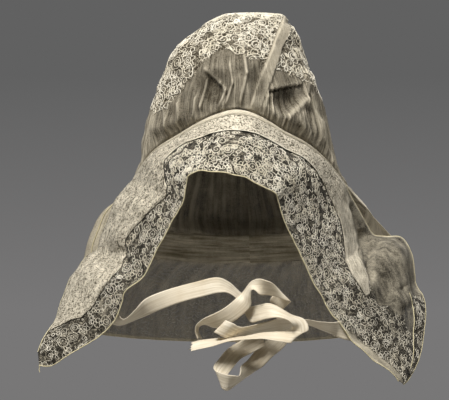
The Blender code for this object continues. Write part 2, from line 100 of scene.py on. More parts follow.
RIGHT_TIE = (
    (111.5, -41.9, -212.3, 87, -22), (100, -48.2, -209, 85, 6), (92, -50, -207.5, 84, 44),
    (80.5, -51, -205, 84, 62), (66, -53, -201.5, 88, 74), (54, -53, -203, 82, 64),
    (43, -53.5, -204.5, 94, 36), (32, -55.5, -206.5, 92, 40), (21, -59.5, -208.5, 92, 50),
    (9.5, -63, -210.5, 82, 54), (0.5, -70, -212, 62, 36), (-7.5, -77, -209, 54, 8),
    (-14.5, -76, -206, 47, -4), (-14, -71, -206, 46, -4), (-5, -64, -211, 52, 6),
    (8, -51, -214.5, 84, 10), (19, -47, -215, 96, 0), (25.5, -48.5, -216.5, 110, 0),
    (20, -52.5, -219.5, 126, 0), (9, -56.5, -225.5, 134, 0), (-2, -62, -232, 146, 0),
    (-10.6, -67, -242, 153, 0), (-16, -71, -249.5, 130, -8), (-16.5, -76.5, -255.5, 108, 0),
    (-8, -79, -259, 88, 20), (1.5, -75, -256.5, 86, 62), (6, -66, -252.5, 130, 66),
    (11, -60, -246, 152, 34), (18, -52, -241, 158, 10), (27, -44.5, -231, 148, 0),
    (40, -38, -219.5, 142, 0), (47, -35, -206, 160, 0), (43, -43, -193, 158, 0),
    (38.5, -53, -185.5, 140, 0), (44, -57.5, -179, 138, 0), (46.5, -61.5, -176.5, 135, 0),
    (43, -66, -174.5, 124, 12), (36, -69, -170.5, 108, 28), (27.5, -70.5, -168.5, 95, 24),
    (20, -69.5, -168, 106, -24), (13.5, -66.5, -168.5, 136, -68), (9.5, -64.5, -176, 160, -54),
    (6, -65, -184, 146, -8), (-7.5, -65, -195, 124, 14), (-22.5, -64.5, -201.5, 124, 34),
    (-31.5, -62, -202, 136, 70), (-36.5, -59.5, -205.5, 160, 78), (-37, -57.5, -211, 175, 78),
    (-34.5, -56, -217, 185, 74),
)


def true_place(point):
    """A point of the tables moved out from the line of sight by how far back it lies."""
    x, y, z = point
    spread = 1.0 + (y - FACE_Y) / FACE_AWAY
    return np.array([SIGHT_X + (x - SIGHT_X) * spread, y, SIGHT_Z + (z - SIGHT_Z) * spread])


def smooth(value):
    """Eases a share from 0 to 1, held at both ends."""
    share = min(max(value, 0.0), 1.0)
    return share * share * (3.0 - 2.0 * share)


def through(rows, place, closed=False):
    """The row at a place along a table, on a smooth curve through its rows."""
    count = len(rows)
    if closed:
        start = math.floor(place)
        near = [rows[(start + step) % count] for step in (-1, 0, 1, 2)]
    else:
        start = min(max(math.floor(place), 0), count - 2)
        near = [rows[min(max(start + step, 0), count - 1)] for step in (-1, 0, 1, 2)]
    share = place - start
    before, here, after, beyond = (np.array(row) for row in near)
    slope = (after - before) / 2.0
    next_slope = (beyond - here) / 2.0
    square, cube = share**2, share**3
    return (
        (2.0 * cube - 3.0 * square + 1.0) * here
        + (cube - 2.0 * square + share) * slope
        + (3.0 * square - 2.0 * cube) * after
        + (cube - square) * next_slope
    )


def tie_section(rows, place):
    """Middle of a tie and the half width towards its upper edge."""
    x, y, z, turn, lean = through(rows, place)
    turn, lean = math.radians(turn), math.radians(lean)
    half = RIBBON_WIDTH / 2
    towards = (
        half * math.cos(lean) * math.cos(turn),
        -half * math.sin(lean),
        half * math.cos(lean) * math.sin(turn),
    )
    return np.array([x, y, z]), np.array(towards)


def wrinkle(point, size, height):
    """Soft uneven waves: how far cloth stands off at a point, for waves of this size."""
    return height * noise.noise(Vector(point) / size)


def cloth(name, steps, flat, point, finish, thickness, offset=0.0):
    """A sheet of cloth: a grid of this flat size carried to its place by a function, which gives
    a position, how much the cloth is bunched up there with the painted light and shade it is
    given, and how much it is figured. It returns the piece and the grid's positions."""
    places = np.zeros((steps[0] + 1, steps[1] + 1, 3))
    grid = bmesh.new()
    bmesh.ops.create_grid(grid, x_segments=steps[0], y_segments=steps[1], size=0.5)
    flat_place = grid.loops.layers.uv.new("cloth")
    for face in grid.faces:
        for end in face.loops:
            across, along = end.vert.co.x + 0.5, end.vert.co.y + 0.5
            end[flat_place].uv = (across * flat[0], along * flat[1])
    bunched_and_painted_light = grid.verts.layers.float.new("bunched_and_painted_light")
    figured = grid.verts.layers.float.new("figured")
    for corner in grid.verts:
        across, along = corner.co.x + 0.5, corner.co.y + 0.5
        place, corner[bunched_and_painted_light], corner[figured] = point(across, along)
        place = true_place(place)
        places[round(across * steps[0]), round(along * steps[1])] = place
        corner.co = Vector(place) * MM
    bmesh.ops.remove_doubles(grid, verts=grid.verts, dist=0.02 * MM)
    mesh = bpy.data.meshes.new(name)
    grid.to_mesh(mesh)
    grid.free()
    mesh.materials.append(finish)
    mesh.shade_smooth()
    piece = bpy.data.objects.new(name, mesh)
    bpy.context.scene.collection.objects.link(piece)
    wall = piece.modifiers.new("Wall", "SOLIDIFY")
    wall.thickness = thickness * MM
    wall.offset = offset
    wall.use_even_offset = False
    return piece, places


def linear(hex_colour):
    """An sRGB hex colour as linear red, green, blue and alpha."""
    values = [int(hex_colour[start : start + 2], 16) / 255 for start in (1, 3, 5)]
    turned = [v / 12.92 if v <= 0.04045 else ((v + 0.055) / 1.055) ** 2.4 for v in values]
    return (*turned, 1.0)


def add(tree, kind, inputs=None, **settings):
    """Adds a node with its settings, and values or links for its sockets. Where a node is
    given for a socket, its first output is linked."""
    node = tree.nodes.new("ShaderNode" + kind)
    for name, value in settings.items():
        setattr(node, name, value)
    for socket, value in (inputs or {}).items():
        if isinstance(value, bpy.types.Node):
            value = value.outputs[0]
        if isinstance(value, bpy.types.NodeSocket):
            tree.links.new(value, node.inputs[socket])
        else:
            node.inputs[socket].default_value = value
    return node


def start_material(name, roughness, sheen=0.0, sheen_roughness=0.5):
    """A new material, its node tree and its shader."""
    made = bpy.data.materials.new(name)
    made.use_nodes = True
    shader = made.node_tree.nodes["Principled BSDF"]
    shader.inputs["Roughness"].default_value = roughness
    shader.inputs["Metallic"].default_value = 0.0
    shader.inputs["IOR"].default_value = 1.5
    shader.inputs["Sheen Weight"].default_value = sheen
    shader.inputs["Sheen Roughness"].default_value = sheen_roughness
    return made, made.node_tree, shader


def colour_and_relief(tree, shader, share, first, second, relief, strength, depth):
    """Colours a shader between two colours by a share, and gives it relief of this depth in
    millimetres."""
    colour = add(tree, "Mix", {0: share, 6: first, 7: second}, data_type="RGBA")
    tree.links.new(colour.outputs[2], shader.inputs["Base Color"])
    bump = add(tree, "Bump", {"Height": relief, "Strength": strength, "Distance": depth * MM})
    tree.links.new(bump.outputs[0], shader.inputs["Normal"])


# Cotton tape: plain woven, with streaks along its warp about 1.4 mm wide and 36 mm long, and
# yellowed in patches about 22 mm wide
tape, tree, shader = start_material("cotton_tape", 0.62, 0.15)
cloth_place = add(tree, "UVMap", uv_map="cloth")
WAVE_TURN = 2.0 * math.pi / 20.0  # a wave texture's period at scale 1
warp = add(
    tree,
    "TexWave",
    {"Vector": cloth_place, "Scale": WAVE_TURN / (TAPE_THREAD_MM * MM), "Distortion": 0.6},
    wave_type="BANDS",
    bands_direction="X",
)
streak_place = add(tree, "Mapping", {"Vector": cloth_place, "Scale": (700.0, 28.0, 1.0)})
streaks = add(tree, "TexNoise", {"Vector": streak_place, "Scale": 1.0, "Detail": 3.0})
streak_tone = add(tree, "MapRange", {"Value": streaks, "From Min": 0.33, "From Max": 0.67})
weave = add(tree, "Mix", {0: 0.68, 2: warp.outputs["Fac"], 3: streak_tone}, data_type="FLOAT")
weave_ends = {0: weave, 6: linear("#C9BDA4"), 7: linear("#F7EFDE")}
weave_colour = add(tree, "Mix", weave_ends, data_type="RGBA").outputs[2]
spot = add(tree, "TexCoord").outputs["Object"]
stain = add(tree, "TexNoise", {"Vector": spot, "Scale": 45.0, "Detail": 2.0})
stained = add(
    tree, "MapRange", {"Value": stain, "From Min": 0.45, "From Max": 0.75, "To Max": 0.35}
)
colour_and_relief(tree, shader, stained, weave_colour, linear("#B7A07A"), weave, 0.35, 0.25)


def run_along(points):
    """How far along a line of points each of them lies."""
    steps = np.linalg.norm(np.diff(points, axis=0), axis=1)
    return np.concatenate(([0.0], np.cumsum(steps)))


def stand_for(piece, node):
    """Puts a piece in the place of a plain part of the cap, with which it moves."""
    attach(piece, "root")
    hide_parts(node)


def tie_length(rows):
    """A tie's length along its middle, in metres."""
    places = np.linspace(0.0, len(rows) - 1.0, 8 * len(rows))
    middles = [true_place(tie_section(rows, place)[0]) for place in places]
    return float(run_along(middles)[-1]) * MM


def ribbon(name, rows):
    """A tie as a woven tape that follows its table, with a slight ripple across it."""
    last = len(rows) - 1.0

    def ribbon_point(across, along):
        middle, half = tie_section(rows, along * last)
        ahead = tie_section(rows, min(along * last + 0.1, last))[0]
        behind = tie_section(rows, max(along * last - 0.1, 0.0))[0]
        normal = np.cross(half, ahead - behind)
        normal /= max(np.linalg.norm(normal), 0.001)
        place = middle + half * (2.0 * across - 1.0)
        if along > FRAYED_FROM:
            onwards = (ahead - behind) / np.linalg.norm(ahead - behind)
            place = place + onwards * wrinkle((90.0 * across, 3.0, 7.0), FRAY_WIDE, RIBBON_FRAY)
        return place + normal * wrinkle(place, RIPPLE_LONG, RIBBON_RIPPLE), 0.0, 0.0

    length = tie_length(rows)
    steps = (RIBBON_ACROSS, RIBBON_STEPS_A_ROW * (len(rows) - 1))
    flat = (RIBBON_WIDTH * MM, length)
    piece = cloth(name + "_tape", steps, flat, ribbon_point, tape, RIBBON_WALL)[0]
    stand_for(piece, name)


ribbon("tie_left", LEFT_TIE)
ribbon("tie_right", RIGHT_TIE)

# Band
# A narrow strip of net, ruched along the seam round the face and sewn over the join of crown
# and frill. Round the nape it runs on as a wider plain strip of cream cotton.
BAND_WALL = 0.5
BAND_WIDE = 12.0
BAND_OVERLAP = 0.06  # share of its width that laps over each edge
BAND_COLUMNS = (660, 8)
FACE_HALF_SHARE = 0.24
FACE_COLUMN_SHARE = 0.82
RUCHE_MM = 3.2
RUCHE_SLANT = 6.0
RUCHE_HEIGHT = 0.45
BAND_SWELL = 1.3
SEWN_GAP = 0.9
HEAD_MIDDLE_Y = 42.0
SIDE_SHARE = 0.17
SIDE_REACH = 0.04

# The seam between crown and band, from the forehead round by the right side, the nape and
# the left side: x, y, z, then how far the band's lower edge stands out and drops from it
SEAM = (
    (-1.5, -28, 0, 3, 4), (14, -26.5, -2.4, 3, 4), (30, -22, -10, 3, 4), (46, -14, -20, 3, 4),
    (65, -1, -30, 3, 4), (80, 12, -42, 3, 4), (90, 22, -53, 3, 4.5), (99, 34, -65, 3.5, 5),
    (108, 46, -75, 5, 7), (118, 60, -85, 10, 13), (124, 76, -96, 16, 22), (118, 94, -106, 15, 24),
    (92, 108, -114, 11, 24), (50, 116, -118, 8, 24), (0, 118, -120, 7, 24),
    (-50, 116, -118, 8, 24), (-88, 106, -113, 11, 22), (-106, 88, -103, 11, 17),
    (-104, 66, -90, 8, 11), (-98, 46, -74, 5, 7), (-93, 32, -60, 3.5, 5), (-77, 12, -38, 3, 4),
    (-56, -4, -24, 3, 4), (-34, -19, -11, 3, 4), (-18, -25.5, -4, 3, 4),
)
SEAM_RIGHT_SIDE = 7
SEAM_LEFT_SIDE = -5

# The seam's run, measured so that shares of its length are even
SEAM_STEPS = 16
seam_places = np.arange(-len(SEAM), len(SEAM) + 1, 1.0 / SEAM_STEPS)
seam_points = np.array([through(SEAM, place, closed=True) for place in seam_places])
seam_lengths = run_along(seam_points[:, :3])
seam_middle = len(SEAM) * SEAM_STEPS
seam_round = seam_lengths[2 * seam_middle] - seam_lengths[seam_middle]
seam_shares = (seam_lengths - seam_lengths[seam_middle]) / seam_round


def seam(share):
    """x, y, z, stand-out and drop of the seam, from the forehead (0) round to it again (1)."""
    return np.array([np.interp(share, seam_shares, column) for column in seam_points.T])


def seam_share_at(side_x):
    """The share of the seam's round at which its front stretch is at this x."""
    first = seam_middle + SEAM_LEFT_SIDE * SEAM_STEPS
    last = seam_middle + SEAM_RIGHT_SIDE * SEAM_STEPS + 1
    return np.interp(side_x, seam_points[first:last, 0], seam_shares[first:last])


def outward(point):
    """The level direction away from the middle of the head."""
    away = np.array([point[0], point[1] - HEAD_MIDDLE_Y, 0.0])
    return away / np.linalg.norm(away)


def band_point(share, across):
    """A point on the band's middle line, from the seam (0) to its lower edge (1)."""
    x, y, z, stand_out, fall = seam(share)
    top = np.array([x, y, z])
    down = stand_out * outward(top) - np.array([0.0, 0.0, fall])
    return top + across * down


def below_band(share):
    """A point just under the band's lower edge, where frill and curtain are sewn on. The frill
    turns away from the band most at the sides of the face, where it needs more room."""
    low = band_point(share, 1.0)
    down = low - band_point(share, 0.0)
    at_side = smooth(2.0 - abs(abs(share) - SIDE_SHARE) / SIDE_REACH)
    gap = SEWN_GAP * (1.0 + at_side)
    return low + gap * down / np.linalg.norm(down)


def face_first(column):
    """Spreads columns round the seam so that most of them lie round the face: the share of
    the round at a share of the columns, from the nape (0) over the face to the nape (1)."""
    side = (1.0 - FACE_COLUMN_SHARE) / 2
    columns = (0.0, side, 1.0 - side, 1.0)
    shares = (-0.5, -FACE_HALF_SHARE, FACE_HALF_SHARE, 0.5)
    return float(np.interp(column, columns, shares))


def round_face(share):
    """How far a place on the seam lies round the face (1) and not behind (0)."""
    return smooth((FACE_HALF_SHARE + 0.02 - abs(share)) / 0.06)


def ruched_point(column, across):
    """A point on the ruched band: small pleats round the face, soft folds behind."""
    share = face_first(column)
    middle = band_point(share, (1.0 + 2.0 * BAND_OVERLAP) * across - BAND_OVERLAP)
    away = outward(middle)
    run_mm = share * seam_round
    slip = wrinkle((run_mm, 9.0 * across, 0.0), 7.0, 1.6)
    pleat = math.cos(2.0 * math.pi * (run_mm + slip + RUCHE_SLANT * across) / RUCHE_MM)
    face = round_face(share)
    swell = BAND_SWELL * math.sin(math.pi * across) * (0.35 + 0.65 * face)
    height = face * RUCHE_HEIGHT * (0.35 + 0.65 * math.sin(math.pi * across)) * pleat * 0.5
    height += (1.0 - face) * wrinkle(middle, 16.0, 0.8)
    # Paler on each pleat's crest, a painted highlight, and less pale away from the middle of the
    # forehead. Behind the right lappet the band is given painted light, which lifts it out of shade.
    bunched_and_painted_light = face * (0.55 + 0.2 * pleat) * (1.0 - 0.7 * smooth((abs(share) - 0.01) / 0.06))
    bunched_and_painted_light += 0.9 * smooth(1.5 - abs(share - 0.33) / 0.08)
    return middle + away * (swell + height), bunched_and_painted_light, face


# Cotton net takes its tone from how much thread lies in a place: pale where it is bunched or
# embroidered. Its dark colour is painted shade: the net lets little through, and the shade behind a
# single layer is painted into it, darker still on the embroidered ground. Real meshes are about
# 1 mm wide, and are drawn up to twice as wide so that they show.
def net_material(
    name,
    shade_colour,
    light,
    pale,
    creases,
    crease_strength,
    floor,
    cover,
    mesh=1.6,
    curl=3.2,
    curl_width=0.02,
    curl_strength=0.0,
    speck=2.0,
    speck_strength=0.0,
    figured_shade=0.0,
    figure_cover=0.0,
):
    """A cotton net or lace cloth. Its mesh, curls and specks are in millimetres on the cloth,
    its creases in waves a metre, and floor and cover are the shares that thread covers."""
    made, tree, shader = start_material(name, 0.85, 0.1, 0.6)
    shader.inputs["Specular IOR Level"].default_value = 0.2
    spot = add(tree, "TexCoord").outputs["Object"]
    on_flat = add(tree, "UVMap", uv_map="cloth")
    bunched_and_painted_light = add(tree, "Attribute", attribute_name="bunched_and_painted_light").outputs["Fac"]
    figured = add(tree, "Attribute", attribute_name="figured").outputs["Fac"]

    # The meshes of the net: threads lie along the borders of its cells
    cell_size = {"Vector": spot, "Scale": 1.0 / (mesh * MM), "Randomness": 0.8}
    cells = add(tree, "TexVoronoi", cell_size, feature="DISTANCE_TO_EDGE")
    ends = {"Value": cells, "From Min": 0.08, "From Max": 0.26, "To Min": 1.0, "To Max": 0.0}
    net_thread = add(tree, "MapRange", ends)

    # Fine creases that run up the cloth, painted into its tone as paler and darker streaks of
    # light and shade, and slow unevenness of the whole, about 11 mm wide
    crease_place = add(tree, "Mapping", {"Vector": on_flat, "Scale": creases})
    crease_look = {"Vector": crease_place, "Scale": 1.0, "Detail": 4.0, "Roughness": 0.6}
    crease_waves = add(tree, "TexNoise", crease_look)
    slow_look = {"Vector": spot, "Scale": 90.0, "Detail": 5.0, "Roughness": 0.7}
    slow_waves = add(tree, "TexNoise", slow_look)
    tones = []
    for waves, middle, reach in ((crease_waves, pale, crease_strength), (slow_waves, 0.0, 0.1)):
        ends = {"Value": waves, "From Min": 0.3, "From Max": 0.7}
        ends |= {"To Min": middle - reach, "To Max": middle + reach}
        tones.append(add(tree, "MapRange", ends, clamp=False))
    crease_light_and_shade, slow = tones

    # Small embroidered curls on the ground: the level lines of a noise are closed loops. Where
    # the net is close, flecks of open ground show
    curl_look = {"Vector": spot, "Scale": 1.0 / (curl * MM), "Detail": 0.6, "Distortion": 1.1}
    curl_noise = add(tree, "TexNoise", curl_look)
    off_level = add(tree, "Math", {0: curl_noise, 1: 0.5}, operation="SUBTRACT")
    off_level = add(tree, "Math", {0: off_level}, operation="ABSOLUTE")
    speck_look = {"Vector": spot, "Scale": 1.0 / (speck * MM), "Detail": 1.0}
    speck_noise = add(tree, "TexNoise", speck_look)
    marks = []
    for value, full, none, strength in (
        (off_level, curl_width, curl_width + 0.025, curl_strength),
        (speck_noise, 0.38, 0.47, speck_strength),
    ):
        ends = {"Value": value, "From Min": full, "From Max": none}
        ends |= {"To Min": strength, "To Max": 0.0}
        mark = add(tree, "MapRange", ends)
        marks.append(add(tree, "Math", {0: mark, 1: figured}, operation="MULTIPLY"))
    curls, specks = marks

    # How pale each place is, with the painted light and shade it is given, how much of it is thread,
    # and how far it stands up
    tone = add(tree, "Math", {0: crease_light_and_shade, 1: slow}, operation="ADD")
    thread_cover = add(tree, "MapRange", {"Value": net_thread, "To Min": floor, "To Max": cover})
    sums = []
    for total, parts in (
        (
            tone,
            ((bunched_and_painted_light, 0.6), (net_thread, 0.08), (curls, 0.9), (specks, -1.0), (figured, figured_shade)),
        ),
        (
            thread_cover,
            ((bunched_and_painted_light, 0.5), (slow, 0.5), (curls, 0.9), (specks, -0.5), (figured, figure_cover)),
        ),
        (net_thread, ((curls, 2.0), (crease_waves, 2.5), (specks, -1.5))),
    ):
        for part, share in parts:
            total = add(tree, "Math", {0: part, 1: share, 2: total}, operation="MULTIPLY_ADD")
        sums.append(total)
    tone, thread_cover, relief = sums
    tone = add(tree, "Clamp", {"Value": tone})
    colour_and_relief(tree, shader, tone, linear(shade_colour), linear(light), relief, 0.5, 0.3)
    opacity = add(tree, "Clamp", {"Value": thread_cover, "Min": 0.12})
    tree.links.new(opacity.outputs[0], shader.inputs["Alpha"])
    return made


band_net = net_material(
    "ruched_cotton_net",
    shade_colour="#7D745D",
    light="#EEE6D3",
    pale=0.3,
    creases=(70.0, 800.0, 1.0),
    crease_strength=0.45,
    floor=0.85,
    cover=1.0,
    mesh=1.3,
)
band_flat = (seam_round * MM, BAND_WIDE * MM)
band = cloth("band_ruching", BAND_COLUMNS, band_flat, ruched_point, band_net, BAND_WALL)[0]
stand_for(band, "band")

# Crown
# One tall bag of fine cotton net, set into the band in narrow gathers that open out upwards.
# A broad tuck runs down its front on the right, and the net hollows on either side of it.
CROWN_TOP = 92.0
CROWN_WALL = 0.35
CROWN_DEEP = 230.0
CROWN_STEPS = (540, 74)
PUFF_HEIGHT = 14.0
TOP_FADE = (84.0, 92.0)
CROWN_INSET = 0.6
CROWN_WRINKLES = ((17.0, 2.2), (7.0, 0.7))  # how long and how high

# The crown's level outlines from the top down: z, x at left, x at right, y in front, y behind
CROWN_LEVELS = (
    (92, 16, 16, 35, 35), (91, -9, 41, 20, 50), (89, -15, 47, 12, 58), (82, -29, 51, 2, 68),
    (78, -33, 57, -2, 72), (69, -45, 60, -11, 80), (61, -56, 62, -17, 86), (52, -62, 65, -22, 92),
    (39, -67, 70, -26, 99), (25, -73, 77, -28, 106), (7, -80, 82, -30, 112),
    (-9, -84, 86, -33, 116), (-29, -88, 90, -35, 119), (-50, -90, 95, -37, 122),
    (-72, -95, 101, -39, 125), (-85, -103, 110, -40, 127), (-100, -112, 122, -41, 128),
    (-125, -114, 126, -41, 128),
)

# Its gathers: how far apart, how high, and the share of its rise at which they die out
CROWN_GATHERS = (
    (12, 1.1, 0.58), (5.6, 1.1, 0.5), (3.2, 0.7, 0.36),
)

# Folds of the crown's front, standing out: x and z at each end, half width, height, where a
# height below zero is a crease
CROWN_FOLDS = (
    (6.2, 62, 9.8, 36, 2.2, 2.6), (9.8, 36, 3.2, 6, 2.2, 2.6), (-28.5, 39, -15.7, 25.9, 2.8, 2),
    (-15.7, 25.9, -9.8, 19, 1.8, 2.4), (-9.8, 19, -17.1, 3, 1.6, 2.6),
    (-5.7, 44, -3.2, 25.9, 1.6, 1.8), (-3.2, 25.9, -9.8, 5.7, 1.5, 2), (64.4, 10, 49.9, -6, 3, 3),
    (33.3, 17.1, 60.8, 22.8, 1.6, -1.8), (33.3, 20.5, 60.8, 26.2, 1.8, 1.6),
    (60.8, 57, 67.5, 33, 2.6, 2.2), (67.5, 33, 66.5, 6, 2.2, 2.4),
    (-68.4, 3, -66.5, -19, 1.6, 2.2), (-55.7, 6, -56.3, -17.7, 1.6, 2.2),
    (-39, 12, -43.7, -14, 1.6, 2), (-28.7, 29, -34.6, 3, 1.8, 2), (-74, 22, -80, -16, 7, 2.6),
    (-88.5, -33, -85, -52, 4, 3), (73, 14, 81.7, -28.5, 2.2, 2.6),
    (79.8, -9.5, 90.3, -45.6, 2.2, 2.6), (68.5, 2, 75, -30, 2, -2.6),
    (86, -18, 95, -52, 1.8, -2.2), (58, -2, 66, -26, 2, 2), (30, 14, 27, -6, 1.6, 1.8),
    (36, 12, 35, -10, 1.6, 1.8),
)

# Hollows of the crown's front: x, z, half width, half height, depth
CROWN_HOLLOWS = (
    (-23, 20, 15, 19, 6.5), (47, 9, 15, 15, 6), (22, 24, 9, 20, 4), (-50, -4, 14, 14, 3),
)

# The lower edge of the crown's lace, seen from the front: x and z
LACE_EDGE = (
    (-100, -8), (-74, -6), (-63, 1), (-39, 32), (-29.5, 44), (-13, 56), (13, 46), (24.7, 42),
    (34, 38), (61, 26), (80, 16), (110, 0),
)
LACE_EDGE_BEHIND = 4.0

# The tuck: x and z at its top and at its foot, then half its width and its height
TUCK = (50.0, 88.0, 17.5, 0.0, 4.6, 2.2)


def between(columns, key):
    """The row of a table where its first column has the value, on straight lines between rows.
    The table is given as an array of its columns."""
    return [np.interp(key, columns[0], column) for column in columns[1:]]


crown_drops = np.array([(math.sqrt(CROWN_TOP - row[0]), *row[1:]) for row in CROWN_LEVELS]).T
lace_edge_columns = np.array(LACE_EDGE).T


@lru_cache(maxsize=None)
def crown_level(z):
    """Middle and half widths of the crown's outline at a height."""
    left, right, front, back = between(crown_drops, math.sqrt(max(CROWN_TOP - z, 0.0)))
    return (left + right) / 2, (front + back) / 2, (right - left) / 2, (back - front) / 2


def from_line(x, z, row):
    """Distance from a fold's line, seen from the front."""
    x1, z1, x2, z2 = row[:4]
    run_x, run_z = x2 - x1, z2 - z1
    share = ((x - x1) * run_x + (z - z1) * run_z) / (run_x**2 + run_z**2)
    held = min(max(share, 0.0), 1.0)
    return math.hypot(x - x1 - held * run_x, z - z1 - held * run_z)


def folds_at(x, z, folds):
    """How far the folds in a table stand out at a place seen from the front, and how near the
    place is to a crest (above 0) or to the bottom of a crease (below 0), which the crown takes
    for its painted highlights and painted shade."""
    height = crest_light_and_crease_shade = 0.0
    for row in folds:
        gap = from_line(x, z, row)
        if gap < 1.5 * row[4]:
            height += row[5] * smooth(1.5 - gap / row[4])
            crest_light_and_crease_shade += math.copysign(smooth(1.5 - 2.0 * gap / row[4]), row[5])
    return height, crest_light_and_crease_shade


def hollow_depth(x, z):
    """How deep the crown's hollows are at a place seen from the front."""
    depth = 0.0
    for middle_x, middle_z, half_width, half_height, full in CROWN_HOLLOWS:
        gap = math.hypot((x - middle_x) / half_width, (z - middle_z) / half_height)
        depth += full * smooth(1.25 - gap)
    return depth


def gathers(share, rise):
    """How far the crown's gathers stand out, and how pale the net is there (0 to 1): paler on
    each ridge, partly where the net bunches and partly a painted highlight on the ridge.
    """
    run_mm = share * seam_round
    height = bunching_and_painted_light = 0.0
    strong = 0.5 + 0.5 * smooth((share - 0.02) / 0.05) + 0.3 * smooth((-0.12 - share) / 0.04)
    for pitch, full, fade in CROWN_GATHERS:
        slip = wrinkle((run_mm, 60.0 * rise, pitch), 2.2 * pitch, 0.7 * pitch)
        ridge = (0.5 + 0.5 * math.cos(2.0 * math.pi * (run_mm + slip) / pitch)) ** 6
        reach = fade * (1.0 + wrinkle((run_mm, pitch, 0.0), 1.2 * pitch, 0.6))
        left = (1.0 - smooth(rise / reach)) * smooth(rise / 0.03 + 0.5)
        left *= strong * (1.0 + wrinkle((run_mm, 80.0 * rise, 5.0), 3.0 * pitch, 0.9))
        height += full * ridge * left
        bunching_and_painted_light += 0.31 * ridge * left
    return height, bunching_and_painted_light


def lace_share(x, z, forward):
    """How much the crown's net is embroidered at a place (0 or 1)."""
    front_edge = between(lace_edge_columns, x)[0] + 2.5 * abs(math.sin(x * math.pi / 13.0))
    edge = LACE_EDGE_BEHIND + (front_edge - LACE_EDGE_BEHIND) * smooth((forward + 0.1) / 0.5)
    above = smooth((z - edge) / 2.5)
    if forward > 0.0:
        above *= smooth((from_line(x, z, TUCK) - TUCK[4]) / 1.5)
    return above


@lru_cache(maxsize=None)
def crown_foot(share):
    """Where the crown is sewn to the band, and which way round the head that is."""
    down = band_point(share, 1.0) - band_point(share, 0.0)
    foot_x, foot_y, foot_z = band_point(share, -SEWN_GAP / np.linalg.norm(down))
    middle_x, middle_y, half_x, half_y = crown_level(foot_z)
    turn = math.atan2((foot_x - middle_x) / half_x, -(foot_y - middle_y) / half_y)
    return foot_x, foot_y, foot_z, turn


def crown_point(column, rise):
    """A point on the crown, from the seam (rise 0) to the top (rise 1)."""
    share = face_first(column)
    seam_x, seam_y, seam_z, turn = crown_foot(share)
    z = seam_z + (CROWN_TOP - seam_z) * math.sin(rise * math.pi / 2) ** 0.9
    middle_x, middle_y, half_x, half_y = crown_level(z)
    x = middle_x + half_x * math.sin(turn)
    y = middle_y - half_y * math.cos(turn)
    puffed = smooth((z - seam_z) / PUFF_HEIGHT)
    x = seam_x + (x - seam_x) * puffed
    y = seam_y + (y - seam_y) * puffed
    height, bunching_and_painted_light = gathers(share, rise)
    # Paler at its foot, where the net is bunched into the band, and painted light there that lifts
    # the shade along the seam.
    bunching_and_painted_light += 0.22 * (1.0 - smooth(rise / 0.05))
    forward = (middle_y - y) / max(half_y, 0.001)
    facing_front = smooth((forward - 0.15) / 0.4) * smooth(rise / 0.06)
    out = height - CROWN_INSET
    if facing_front > 0.0:
        folds, crest_light_and_crease_shade = folds_at(x, z, CROWN_FOLDS)
        tuck = smooth((TUCK[4] + 0.9 - from_line(x, z, TUCK)) / 1.3)
        hollow = hollow_depth(x, z)
        out += (folds * (1.0 - tuck) + TUCK[5] * tuck - hollow) * facing_front
        tuck_edge = smooth(1.6 - abs(from_line(x, z, TUCK) - TUCK[4]) / 0.8)
        # On the tuck the net lies doubled and paler; along its edges it is paler still, a painted
        # highlight.
        bunching_and_painted_light = bunching_and_painted_light * (1.0 - 0.8 * tuck) + 0.4 * tuck + 0.35 * tuck_edge
        # Painted shade: the net is darker in the hollows.
        bunching_and_painted_light *= 1.0 - 0.6 * smooth(hollow / 5.0) * facing_front
        # Painted highlight on each fold's crest, painted shade in each crease and hollow.
        bunching_and_painted_light += (0.5 * crest_light_and_crease_shade * (1.0 - tuck) - 0.045 * hollow) * facing_front
    out += sum(wrinkle((x, y, z), size, high) for size, high in CROWN_WRINKLES)
    to_top = smooth((z - TOP_FADE[0]) / (TOP_FADE[1] - TOP_FADE[0]))
    away = outward((x, y, z)) * (1.0 - to_top)
    place = np.array([x, y, z]) + out * away
    return place, min(bunching_and_painted_light, 1.2), lace_share(x, z, forward)


crown_net = net_material(
    "cotton_net",
    shade_colour="#413A2C",
    light="#EAE1CC",
    pale=0.125,
    creases=(700.0, 22.0, 1.0),
    crease_strength=0.17,
    floor=0.72,
    cover=0.92,
    curl=3.6,
    curl_width=0.03,
    curl_strength=0.5,
    figured_shade=-0.21,
)
crown_flat = (seam_round * MM, CROWN_DEEP * MM)
crown, crown_grid = cloth(
    "crown_net", CROWN_STEPS, crown_flat, crown_point, crown_net, CROWN_WALL, offset=-1.0
)
stand_for(crown, "crown")

# Crown lace
# Sprigs, flowers, drops and scrolls worked on the crown's net in a thick soft cotton thread,
# among lines of the same thread that wander. Each is drawn flat in millimetres and laid on the
# cloth, and stands a little proud of it.
THREAD_THICK = 0.8
THREAD_STEP = 0.95
THREAD_LIFT = 0.35
TWIST_MM = 0.7
CROWN_SPRIG_ROWS = 14
CROWN_SPRIG_EVERY = 14.0
CROWN_SPRIG_HALF = 9.4
LOWEST_ROW = 0.14  # share of the crown's rise
ROWS_RISE = 0.82
CROWN_REACH = (0.012, 0.02)  # shares of the cloth over which its directions are measured
FULL_TURN = 2.0 * math.pi


def placed(along, aside, turn, middle):
    """Flat points at distances along and aside, turned and then moved to a middle."""
    x = middle[0] + along * math.cos(turn) - aside * math.sin(turn)
    y = middle[1] + along * math.sin(turn) + aside * math.cos(turn)
    return np.stack((x, y), axis=1)


def loop(middle, radius, squash=1.0, turn=0.0, petals=0, depth=0.0):
    """A closed round or petalled outline about a middle, as flat points."""
    count = max(6, int(FULL_TURN * radius / THREAD_STEP * (1.0 + depth)))
    angle = FULL_TURN * np.arange(count) / count
    reach = radius * (1.0 + depth * np.cos(petals * angle))
    return placed(reach * np.cos(angle), squash * reach * np.sin(angle), turn, middle), True


